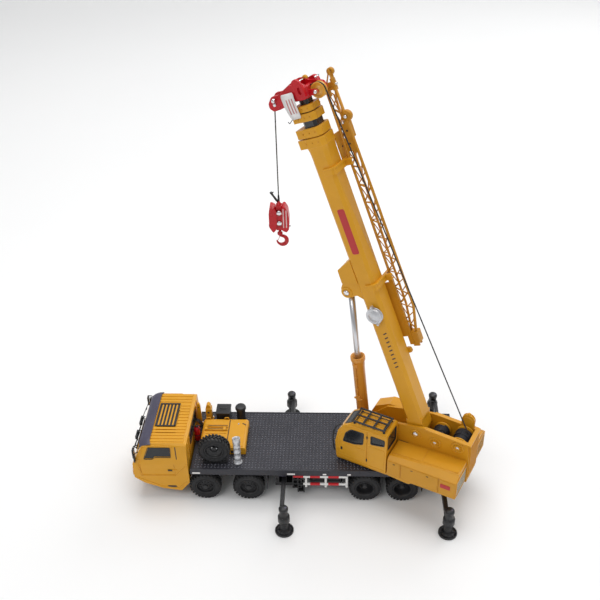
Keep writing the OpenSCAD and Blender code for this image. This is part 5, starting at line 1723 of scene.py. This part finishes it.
# ---------------------------------------------------------------- boom head
# sheave centres in the boom frame: x, z
HEAD_SHEAVE, NOSE_SHEAVE = (213.5, 11.0), (212.5, -15.6)
FAR_CHEEK = [
    (211.85, -4.4), (210.4, -8), (208.6, -13), (208.2, -18.6), (210.2, -20.8), (214.6, -20.4),
    (217.6, -17.4), (217.2, -12), (219.6, -6.4), (221.6, -1.6), (221.4, 2.4), (219.3, 5.2),
    (218.8, 9), (216.8, 13.8), (212.8, 14.4), (210.2, 11), (211.2, 7), (211.85, 6.2)]
NEAR_CHEEK = [
    (211.85, -4.4), (210.6, -8), (209.2, -13), (209.0, -18.2), (210.8, -19.6), (214.4, -19.2),
    (217.0, -16.6), (216.8, -12), (219.2, -6.4), (221.2, -1.6), (220.8, 2.2), (218.6, 4.6),
    (216.2, 6.6), (211.85, 6.4)]
DOUBLER = [(212.6, -5.2), (210.2, -12.8), (209.6, -18.2), (211.2, -19.8), (214.2, -19.4),
           (216.3, -16.6), (215.6, -11.6), (217.6, -6.2)]


def dense(points, step):
    """Outline with extra points along its edges."""
    result = []
    for start, end in zip(points, points[1:] + points[:1]):
        start, end = Vector(start), Vector(end)
        count = max(1, int((end - start).length / step))
        result += [tuple(start.lerp(end, i / count)) for i in range(count)]
    return result


def oval_hole(outline, centre, half_long, half_wide, tilt):
    """Oval with one point for each point of an outline that is star-shaped about it."""
    c, s = cos(tilt), sin(tilt)
    hole = []
    for p in outline:
        x, z = p[0] - centre[0], p[1] - centre[1]
        w = atan2((-x * s + z * c) / half_wide, (x * c + z * s) / half_long)
        x, z = half_long * cos(w), half_wide * sin(w)
        hole.append((centre[0] + x * c - z * s, centre[1] + x * s + z * c))
    return hole


def head_frame():
    part = Part("red", BOOM)
    # block round the tip of the last tube
    band(part, [(211.2, 9.6, 8.2, 1.4), (212.0, 11.6, 10.2, 1.8), (213.0, 12.2, 11.0, 2.0),
                (217.2, 12.2, 11.0, 2.0), (217.9, 11.6, 10.4, 2.0)], (7.1, 5.5, 1.1))
    part.prism(section(11.4, 10.2, 1.9), 216.9, 217.7, "yz")
    for side in SIDES:
        part.prism(round_poly(FAR_CHEEK if side > 0 else NEAR_CHEEK, 1.3), *span(side, 2.3, 3.9))
        part.prism(round_poly(DOUBLER, 1.2), *span(side, 3.8, 4.35))
        part.prism(round_poly([(211.85, -4.6), (217.6, -5.6), (220.4, -2.4), (219.6, 3.6),
                               (217.6, 6.4), (211.85, 6.4)], 1.0), *span(side, 4.8, 6.25))
    # near ear of the top sheave's pin
    part.prism(round_poly([(212.0, 5.4), (215.4, 5.4), (214.9, 11.2), (213.5, 12.4),
                           (212.1, 11.2)], 0.9), -3.3, -2.3)
    # rounded link with a slot on the near cheek
    link = dense(round_poly([(211.6, 1.7), (211.6, 6.7), (216.5, 6.5), (221.6, 5.4),
                             (223.0, 3.0), (221.9, 0.5), (216.5, 0.7)], 1.6, 5), 0.7)
    part.frame(link, oval_hole(link, (216.4, 3.9), 2.0, 0.95, -0.08), -7.3, -5.6, "xz")
    # far cheek's ear
    part.prism(round_poly([(212, 0.8), (216.5, 1.4), (220.2, 3.6), (221.0, 7.0), (219.2, 9.6),
                           (212, 9.2)], 1.5, 5), 4.4, 6.9)
    # cross members between the cheeks
    part.tube([(219.9, -4.2, -1.2), (219.9, 4.2, -1.2)], 1.2, 16)
    part.box(211.9, 217.3, -3.0, 3.0, 5.6, 6.9, 0.3)
    part.box(209.6, 211.2, -2.6, 2.6, -20.0, -17.9, 0.3)
    # jib hinge lug on the far side
    part.box(210.4, 215.2, 3.6, 11.4, 6.3, 8.45, 0.4)
    part.build("head_frame", "boom_5", replaces="boom_head", slot="red", bevel=0.16)


def head_pins():
    part = Part("silver", BOOM)
    part.lathe([(0.1, -7.0), (0.85, -6.95), (1.05, -6.7), (1.05, -3.7)],
               (215.0, 0, -14.4), "y", 24)
    for x, z in (HEAD_SHEAVE, NOSE_SHEAVE):
        part.lathe(mirrored([(0.3, -5.05), (0.9, -4.95), (0.98, -4.7)]), (x, 0, z), "y", 24)
    part.lathe([(0.3, 3.4), (0.55, 3.5), (0.55, 7.9), (0.3, 8.0)], (219.4, 0, 8.6), "y", 16)
    part.lathe([(0.45, -5.4), (0.45, 5.4)], (220.6, 0, 2.9), "y", 14)
    # hinge pin of the jib
    part.lathe([(0.78, 8.3), (0.78, 16.6), (0.5, 16.9), (0.1, 16.95)], (212.6, 9.4, 0), "z", 20)
    part.build("head_pins", "boom_5", slot="silver")
    roller = Part("yellow", BOOM)
    roller.lathe([(0.5, 2.7), (1.5, 2.8), (1.55, 3.2), (1.1, 3.5), (1.55, 3.8), (1.5, 4.2),
                  (0.5, 4.3)], (220.6, 0, 2.9), "y", 28)
    roller.build("head_roller", "boom_5", slot="yellow")


def head_tag():
    """Plain bowed tag beside the near cheek, with three bars and a tie."""
    rows = 14

    def row(i):
        """Share of the length, x and y of one row."""
        share = i / rows
        return share, 216.9 - 14.0 * share, -7.15 - 0.5 * sin(pi * share)

    tag = Part("tag", BOOM)
    rings = []
    for i in range(rows + 1):
        share, x, y = row(i)
        low = -8.4 + 2.0 * share * share
        high = -0.6 + 0.1 * share
        if i in (0, rows):
            low += 0.5
            high -= 0.5
        rings.append([(x, y, low), (x, y, high), (x, y + 0.22, high), (x, y + 0.22, low)])
    tag.sweep(rings)
    tag.build("head_tag", "boom_5", slot="white")
    bars = Part("tag_stripe", BOOM)
    for z in (-5.7, -3.9, -2.2):
        rings = []
        for i in range(3, 12):
            share, x, y = row(i)
            low, high = about(z + 0.5 * share * share, 0.36)
            rings.append([(x, y - 0.06, low), (x, y - 0.06, high),
                          (x, y + 0.05, high), (x, y + 0.05, low)])
        bars.sweep(rings)
    bars.build("head_tag_bars", "boom_5", slot="red")
    tie = Part("black", BOOM)
    tie.tube(spline([(203.2, -7.3, -6.2), (202.2, -7.8, -7.4), (201.6, -7.5, -8.6),
                     (202.6, -7.4, -9.2)], 5), 0.2, 8)
    tie.build("head_tag_tie", "boom_5", slot="black")


def sheave(name, node, body, centre, outer, groove):
    x, z = centre
    part = Part("sheave", BOOM)
    part.hoop(mirrored([
        (1.02, -1.7), (groove * 0.55, -1.7), (groove * 0.62, -0.8), (groove * 0.88, -0.7),
        (outer - 0.5, -1.45), (outer - 0.12, -1.6), (outer, -1.4), (groove + 0.12, -0.42),
        (groove, -0.2)]), (x, 0, z), "y", 56)
    for a in angles(5):
        part.tube([(x + 1.4 * cos(a), 0, z + 1.4 * sin(a)),
                   (x + groove * 0.9 * cos(a), 0, z + groove * 0.9 * sin(a))],
                  None, 8, radii=[1.0, 0.8])
    part.build(name, body, replaces=node, slot="yellow")


head_frame()
head_pins()
head_tag()
sheave("sheave_top", "head_sheave", "sheave_head", HEAD_SHEAVE, outer=4.25, groove=3.3)
sheave("sheave_front", "nose_sheave", "sheave_nose", NOSE_SHEAVE, outer=3.25, groove=2.25)


# ---------------------------------------------------------------- lift cylinder
def lift_cylinder():
    tube = Part("lift", LIFT)
    tube.lathe([(2.4, 1.0), (3.5, 1.3), (3.8, 1.9), (3.8, 50.4), (3.95, 50.8), (3.95, 53.8),
                (4.2, 54.1), (4.55, 54.5), (4.6, 55.0), (4.6, 56.8), (4.4, 57.3), (3.9, 57.4),
                (3.3, 57.1), (3.0, 55.6), (2.02, 55.4), (2.0, 3.4)], (0, 0, 0), "z", 56)
    tube.lathe(mirrored([(1.6, -3.2), (3.3, -3.2), (3.6, -2.9)]), (0, 0, 0), "y", 40)
    # oil pipe with its fittings on the near side
    tube.box(-1.5, 1.3, -4.7, -3.5, 25.4, 29.2, 0.3)
    tube.box(-1.1, 1.1, -4.5, -3.5, 50.6, 53.2, 0.3)
    tube.tube(spline([(0.0, -4.4, 52.2), (0.0, -4.65, 50.0), (-0.1, -4.45, 44),
                      (-0.2, -4.4, 36), (-0.2, -4.6, 30.2), (-0.2, -4.5, 28.6)], 4), 0.38, 10)
    for z in (34.0, 43.0):
        tube.box(-0.9, 0.7, -4.9, -3.6, z, z + 0.9, 0.15)
    tube.bolt((-1.6, -4.1, 27.4), "x", 0.7, -1.3)
    tube.bolt((1.2, -4.1, 26.6), "x", 0.7, 1.2)
    tube.build("lift_tube_body", "lift_tube", replaces="lift_barrel", slot="yellow")
    rod = Part("chrome", LIFT)
    rod.lathe([(1.6, 48.4), (1.9, 48.7), (1.9, 102.6)], (0, 0, 0), "z", 48)
    rod.use("lift")
    rod.lathe(mirrored([(1.4, -3.2), (2.3, -3.2), (2.5, -3.0)]), (0, 0, 105.4), "y", 36)
    rod.lathe([(1.9, 101.4), (2.35, 101.7), (2.35, 103.6)], (0, 0, 0), "z", 36)
    rod.build("lift_rod_body", "lift_piston", replaces="lift_rod", slot="silver")


lift_cylinder()


# ---------------------------------------------------------------- stowed lattice jib
# its three chords, by the share of the way from tip (0) to foot (1)
def chord_near(t):
    return Vector((60 + 151 * t, 8.6, 9.5))


def chord_top(t):
    z = 13 + 4.4 * min(1, t * 8) - 2.6 * max(0.0, (t - 0.3) / 0.75)
    return Vector((60 + 154 * t, 8.9, z))


def chord_far(t):
    return Vector((60 + 146 * t, 10.5 + 4 * min(1, t * 8), 9.7))


def jib_lattice():
    part = Part("jib", BOOM)
    for chord, stations, radius in (
            (chord_near, (0, 0.5, 1), 0.78),
            (chord_top, (0, 0.11, 0.125, 0.14, 0.6, 1.045), 0.82),
            (chord_far, (0, 0.11, 0.125, 0.14, 0.6, 1), 0.7)):
        part.tube([chord(t) for t in stations], radius, 12)
    bays = 14
    for i in range(1, bays + 1):
        node = chord_near(i / bays)
        even = i % 2 == 0
        part.tube([node, chord_top((i + (0.6 if even else -0.6)) / bays)], 0.42, 8)
        if i < bays:
            part.tube([node, chord_top((i + (-0.4 if even else 0.4)) / bays)], 0.34, 8)
        part.tube([node, chord_far(i / bays)], 0.36, 8)
        part.tube([chord_top(i / bays), chord_far((i - 0.5) / bays)], 0.36, 8)
        part.tube([node, chord_far((i - 1) / bays)], 0.3, 8)
    # flat runner along the tip part, folded up at its edge
    part.prism([(7.1, 8.0), (11.4, 8.0), (11.4, 8.9), (7.8, 8.9), (7.8, 10.6), (7.1, 10.6)],
               54.2, 97.8, "yz")
    part.prism([(6.75, 5.2), (7.3, 5.2), (7.6, 8.0), (7.6, 8.6), (7.0, 8.6)], 60.0, 96.4, "yz")
    # tip block and its two ears
    part.box(54.5, 62.2, 7.6, 12.8, 8.8, 14.5, 0.6)
    part.box(52.4, 55.4, 7.9, 9.1, 9.4, 13.4, 0.4)
    part.box(52.4, 55.4, 11.2, 12.4, 9.4, 13.4, 0.4)
    # foot at the head: plates round the hinge barrel
    part.box(206.6, 211.6, 8.1, 10.8, 8.9, 10.9, 0.4)
    part.box(209.4, 215.8, 8.2, 10.7, 13.6, 15.8, 0.4)
    part.box(209.8, 211.4, 8.5, 10.3, 10.4, 14.0, 0.3)
    # box near the foot with a web plate beside it
    part.box(182.8, 192.6, 8.1, 12.5, 11.4, 15.9, 0.5)
    part.box(175.8, 183.4, 8.5, 9.7, 9.2, 15.4, 0.3)
    # hinge barrel
    part.lathe([(1.5, 8.7), (1.62, 8.9), (1.62, 9.6), (1.45, 9.8), (1.45, 14.4), (1.62, 14.6),
                (1.62, 15.6), (1.5, 15.9)], (212.6, 9.4, 0), "z", 32)
    # eye beyond the foot
    part.hoop(mirrored([(1.0, -1.1), (1.75, -1.1), (2.0, -0.85)]), (219.4, 9.4, 15.2), "y", 32)
    part.tube([(214.0, 9.2, 15.0), (217.8, 9.4, 15.1)], 0.95, 12)
    # round swing lug
    part.hoop(mirrored([(1.05, -1.3), (2.7, -1.3), (3.05, -1.0)]), (195, 9.6, 15.9), "y", 40)
    part.hoop([(1.05, -1.7), (1.9, -1.7), (2.0, -1.5), (2.0, -1.2), (1.05, -1.2)],
              (195, 9.6, 15.9), "y", 32)
    part.build("jib_lattice", "fly_jib", replaces="jib", slot="yellow")

    pins = Part("silver", BOOM)
    pins.lathe([(0.3, 6.6), (0.9, 6.8), (0.98, 7.0), (0.98, 12.0), (0.8, 12.2)],
               (195, 0, 15.9), "y", 20)
    pins.lathe([(0.3, 6.3), (0.62, 6.45), (0.62, 9.0)], (192.2, 0, 13.4), "y", 16)
    pins.use("seam")
    pins.lathe([(0.5, 8.45), (0.5, 8.2), (0.3, 8.1)], (180.2, 0, 12.8), "y", 14)
    pins.lathe([(0.6, 8.15), (0.6, 7.85), (0.35, 7.8)], (187.4, 0, 13.8), "y", 14)
    pins.build("jib_pins", "fly_jib", slot="silver")


jib_lattice()


# ---------------------------------------------------------------- ropes
def boom_to_upper(x, z):
    a = radians(LUFF)
    return Vector((PIVOT_X - x * cos(a) + z * sin(a), 0, PIVOT_Z + x * sin(a) + z * cos(a)))


def twisted_rope(path, radius, offset, lay, finishes=("rope", "rope", "rope")):
    """Three strands twisted round a path; lay is the length of one full twist."""
    part = Part(finishes[0], UPPER)
    corners_in = [Vector(p) for p in path]
    points, lengths = [corners_in[0]], [0.0]
    for a, b in zip(corners_in, corners_in[1:]):
        count = max(1, int((b - a).length / (lay / 7)))
        points += [a.lerp(b, i / count) for i in range(1, count + 1)]
    for a, b in zip(points, points[1:]):
        lengths.append(lengths[-1] + (b - a).length)
    for k in range(3):
        strand = []
        for i, p in enumerate(points):
            ahead = (points[min(i + 1, len(points) - 1)] - points[max(i - 1, 0)]).normalized()
            across = (UNIT_Y - ahead * UNIT_Y.dot(ahead)).normalized()
            other = ahead.cross(across)
            w = 2 * pi * (lengths[i] / lay + k / 3)
            strand.append(p + (across * cos(w) + other * sin(w)) * offset)
        part.use(finishes[k]).tube(strand, radius, 6)
    return part


def wrap(centre, radius, start, end, steps):
    """Arc about a sheave, running anticlockwise in the xz plane."""
    while end < start:
        end += 2 * pi
    turned = [start + (end - start) * i / steps for i in range(steps + 1)]
    return [centre + Vector((cos(w), 0, sin(w))) * radius for w in turned]


def ropes():
    rope = dict(radius=0.22, offset=0.20, lay=2.4)
    head_wrap, nose_wrap = 3.85, 2.8          # rope line radius on the sheaves
    head, nose = boom_to_upper(*HEAD_SHEAVE), boom_to_upper(*NOSE_SHEAVE)
    drum = Vector((MAIN_WINCH[0], 1.2, MAIN_WINCH[1]))
    normal = Vector((head.z - drum.z, 0, -(head.x - drum.x))).normalized()
    start, end = drum + normal * 4.6, head + normal * head_wrap

    def share_at(x):
        """Share of the hoist rope's length where its boom coordinate is x."""
        to_boom = TO_BOOM @ UPPER
        first, last = (to_boom @ start).x, (to_boom @ end).x
        return (x - first) / (last - first)

    # one piece per boom section
    cuts = [0.0, *(share_at(x) for x in (191.3, 196.7, 200.9, 205.9)), 1.0]
    for i in range(5):
        a, b = start.lerp(end, cuts[i]), start.lerp(end, cuts[i + 1])
        part = twisted_rope([a, b], **rope)
        if i == 0:
            piece = part.build("rope_hoist_1", replaces="hoist_rope", slot="rope")
            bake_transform(piece)
        else:
            piece = part.build(f"rope_hoist_{i + 1}", slot="rope")
            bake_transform(piece)

    # over the head sheave, down to the nose sheave and round it
    down = Vector((nose.x - head.x, 0, nose.z - head.z))
    distance = down.length
    down.normalize()
    up = Vector((-down.z, 0, down.x))
    if up.z < 0:
        up = -up
    tilt = asin((head_wrap - nose_wrap) / distance)
    leave = (up * cos(tilt) + down * sin(tilt)).normalized()
    arrive_at = atan2(normal.z, normal.x)
    leave_at = atan2(leave.z, leave.x)
    while leave_at < arrive_at:
        leave_at += 2 * pi
    path = wrap(head, head_wrap, arrive_at, leave_at, 24) + wrap(nose, nose_wrap, leave_at, pi, 16)
    twisted_rope(path, **rope).build("rope_over_head", "boom_5", slot="rope")

    # falling part: lighter, worn cord
    x = nose.x - nose_wrap
    fall = twisted_rope([(x, 0, nose.z), (x, 0, 187.9)], radius=0.20, offset=0.19, lay=2.2,
                        finishes=("rope_light", "rope", "rope_light"))
    piece = fall.build("rope_fall", replaces="fall_rope", slot="rope")
    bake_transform(piece)


ropes()


# ---------------------------------------------------------------- hook block
def hook_block():
    body = Part("red", BLOCK)
    # broad cheek at -x, narrower one at +x
    body.prism(round_poly([(-5.9, 168.3), (-3.6, 164.6), (-1.9, 166.4), (-1.2, 171.0),
                           (-1.3, 178.2), (-2.6, 180.6), (-5.2, 181.6), (-5.9, 177.0)],
                          0.8, 3), -3.7, 3.6)
    body.prism(round_poly([(1.6, 166.0), (4.2, 164.8), (5.7, 167.0), (5.9, 173.0),
                           (5.2, 178.6), (3.4, 181.7), (1.7, 181.0), (1.4, 174)],
                          0.8, 3), -3.5, 3.7)
    body.box(-1.9, 2.0, -2.9, 2.9, 169.6, 176.2, 0.4)
    body.box(-1.9, 2.0, -2.2, 2.2, 165.6, 170.0, 0.3)
    body.box(-1.7, 1.9, -1.9, 1.9, 178.6, 181.6, 0.3)
    body.lathe([(1.7, 180.6), (1.7, 181.6), (1.3, 182.4), (0.75, 183.0), (0.62, 184.0)],
               (0, 0, 0), "z", 32)
    body.build("block_body", "block", replaces="hook_block", slot="red", bevel=0.18)

    # sheave pins and the trunnion
    pins = Part("silver", BLOCK)
    for z in (177.6, 171.0):
        pins.lathe(mirrored([(0.4, -4.15), (1.35, -4.05), (1.5, -3.8), (1.5, -2.8)]),
                   (0.2, 0, z), "y", 28)
    pins.lathe(mirrored([(0.2, -6.5), (0.8, -6.4), (0.9, -6.2)]), (0, 0, 167.6), "x", 20)
    pins.build("block_pins", "block", slot="silver")

    # pale strips on the +x cheek
    strips = Part("stripe_pale", BLOCK)
    strips.box(2.2, 2.9, -3.72, 3.86, 168.0, 180.2, 0.2)
    strips.box(3.9, 4.6, -3.72, 3.86, 168.0, 179.4, 0.2)
    strips.build("block_strips", "block", slot="white")

    # rope socket, and a dark strip standing off the top
    wedge = Part("black", BLOCK)
    wedge.lathe([(0.1, 182.6), (0.66, 182.8), (0.62, 185.6), (0.5, 187.2), (0.3, 187.9)],
                (0, 0, 0), "z", 20)
    wedge.tube([(-4.4, -0.6, 189.6), (-3.0, -0.4, 187.2), (-1.4, -0.2, 184.6),
                (-0.4, 0, 182.9)], None, 8, radii=[0.75, 0.6, 0.7, 0.5])
    wedge.tube([(-3.6, -0.5, 188.9), (-2.9, 0.2, 189.4)], 0.35, 8)
    wedge.build("block_wedge", "block", slot="black")


def hook():
    part = Part("hook_red", BLOCK)
    part.lathe([(0.8, 167.0), (0.8, 163.6), (1.5, 163.3), (1.6, 162.4), (1.5, 161.8),
                (0.9, 161.4)], (0, 0, 0), "z", 28)
    # shank and bowl, tapering to the point
    bowl_x, bowl_z, bowl_radius = 1.0, 158.0, 2.9
    path = [(0.0, 0, 162.6), (0.35, 0, 161.2)]
    radii = [0.85, 0.95]
    for i in range(15):
        a = radians(75 - i * 18.2)
        path.append((bowl_x + bowl_radius * cos(a), 0, bowl_z + bowl_radius * sin(a)))
        radii.append(max(0.42, 0.95 + 0.35 * sin(pi * min(1, i / 11)) - 0.10 * max(0, i - 9)))
    part.tube(path, None, 16, radii=radii)
    # safety latch
    part.tilted((-0.55, 0, 159.9), (0.3, 0.9, 3.4), turn(18, "Y"), 0.1)
    part.build("hook_body_mesh", "hook_body", replaces="hook", slot="red")


hook_block()
hook()

# ---------------------------------------------------------------- remaining CAD nodes
# finish, bevel, nodes; a node that is hidden from renders is left as it is
REMAINING = (
    ("chassis", 0.25, "chassis_frame"),
    ("chassis", 0.3, "counterweight"),
    ("black", 0, "cab_trim cab_rails"),
    ("black", 0.1, "spare_rim slew_ring axle_1 axle_2 axle_3 axle_4"),
    ("black", 0.15, "mudguards"),
    ("black", 0.2, "outrigger_boxes beam_front_near beam_front_far beam_rear_near beam_rear_far"
                   " leg_front_near leg_front_far leg_rear_near leg_rear_far"),
    ("black", 0.25, "deck_units"),
    ("tyre", 0, "spare_tyre tyres_1 tyres_2 tyres_3 tyres_4"),
    ("yellow", 0, "head_sheave nose_sheave"),
    ("yellow", 0.1, "main_drum aux_drum"),
    ("yellow", 0.15, "rest_posts"),
    ("yellow", 0.2, "lift_barrel"),
    ("yellow", 0.3, "engine_hood"),
    ("red", 0, "extinguisher hook"),
    ("red", 0.2, "boom_head"),
    ("red", 0.3, "hook_block"),
    ("grey", 0.15, "cab_visor"),
    ("lens", 0.1, "lamps"),
    ("alu", 0.1, "exhaust_stack"),
    ("white", 0.1, "side_guards"),
    ("grille", 0, "rear_grille"),
    ("chrome", 0, "lift_rod"),
    ("silver", 0.1, "cable_reel"),
    ("jib", 0, "jib"),
    ("rope", 0, "hoist_rope fall_rope"),
)
for node_finish, node_bevel, node_names in REMAINING:
    for node_name in node_names.split():
        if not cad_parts[node_name].hide_render:
            cad(node_name, node_finish, node_bevel)


# ---------------------------------------------------------------- floor, light, camera (metres)
def studio_floor():
    """Flat floor curving up into a wall behind the model."""
    mat, tree, shader, coord = new_material("studio_floor")
    drift = noise(tree, coord, scale=3, detail=3, rough=0.5)
    tree.links.new(ramp(tree, drift, 0.3, 0.93, 0.7, 0.945), shader.inputs["Base Color"])
    shader.inputs["Roughness"].default_value = 0.75
    shader.inputs["Specular IOR Level"].default_value = 0.2
    reach, half_width, bend, wall_top = 2.2, 3.2, 0.5, 3.0
    sink = 0.00002                   # keeps the floor just under the tyres
    curve = [pi / 2 * i / 10 for i in range(11)]
    profile = [(-reach, 0.0)]
    profile += [(reach * 0.55 + bend * sin(a), bend - bend * cos(a)) for a in curve]
    profile.append((reach * 0.55 + bend, wall_top))
    bm = bmesh.new()
    rows = [[bm.verts.new((x, y, z - sink)) for x in (-half_width, half_width)]
            for y, z in profile]
    for a, b in zip(rows, rows[1:]):
        bm.faces.new((a[0], a[1], b[1], b[0]))
    mesh = bpy.data.meshes.new("studio_floor")
    bm.to_mesh(mesh)
    bm.free()
    floor = bpy.data.objects.new("studio_floor", mesh)
    mesh.materials.append(mat)
    for poly in mesh.polygons:
        poly.use_smooth = True
    bpy.context.scene.collection.objects.link(floor)


def area_light(name, place, target, size, power, colour=(1, 1, 1)):
    light = bpy.data.lights.new(name, "AREA")
    light.shape = "RECTANGLE"
    light.size, light.size_y = size
    light.energy = power
    light.color = colour
    light.spread = pi
    lamp = bpy.data.objects.new(name, light)
    bpy.context.scene.collection.objects.link(lamp)
    lamp.location = place
    lamp.rotation_mode = "QUATERNION"
    lamp.rotation_quaternion = (Vector(target) - Vector(place)).to_track_quat("-Z", "Y")


def lighting():
    area_light("key", place=(-0.55, -0.85, 1.25), target=(0, 0, 0.1), size=(0.9, 0.7),
               power=4.6, colour=(1.0, 0.985, 0.96))
    area_light("fill", place=(1.1, -0.6, 0.7), target=(0, 0, 0.1), size=(0.9, 0.8),
               power=1.4, colour=(0.96, 0.98, 1.0))
    area_light("top", place=(0.1, 0.35, 1.5), target=(0, 0, 0), size=(1.3, 1.0), power=13.5)
    area_light("rim", place=(0.7, 1.0, 0.8), target=(0, 0, 0.12), size=(0.8, 0.6), power=3.0)
    world = bpy.data.worlds.new("studio")
    world.use_nodes = True
    background = world.node_tree.nodes["Background"]
    background.inputs["Color"].default_value = (0.98, 0.99, 1.0, 1)
    background.inputs["Strength"].default_value = 0.40
    scene = bpy.context.scene
    scene.world = world
    scene.view_settings.view_transform = "Standard"
    scene.view_settings.look = "None"


def camera():
    heading, dip, roll = 0.055, 0.588, -0.028        # radians
    place = Vector((18.07, -392.285, 397.2)) * MM
    ahead = Vector((-sin(heading) * cos(dip), cos(heading) * cos(dip), -sin(dip)))
    level = Vector((cos(heading), sin(heading), 0))
    upright = level.cross(ahead)
    right = cos(roll) * level + sin(roll) * upright
    up = -sin(roll) * level + cos(roll) * upright
    lens = bpy.data.cameras.new("camera")
    lens.sensor_width = 36.0
    lens.lens = 49.06818
    lens.clip_start, lens.clip_end = 0.01, 20.0
    eye = bpy.data.objects.new("camera", lens)
    bpy.context.scene.collection.objects.link(eye)
    eye.matrix_world = Matrix((*((right[i], up[i], -ahead[i], place[i]) for i in range(3)),
                               (0, 0, 0, 1)))
    bpy.context.scene.camera = eye


studio_floor()
lighting()
camera()
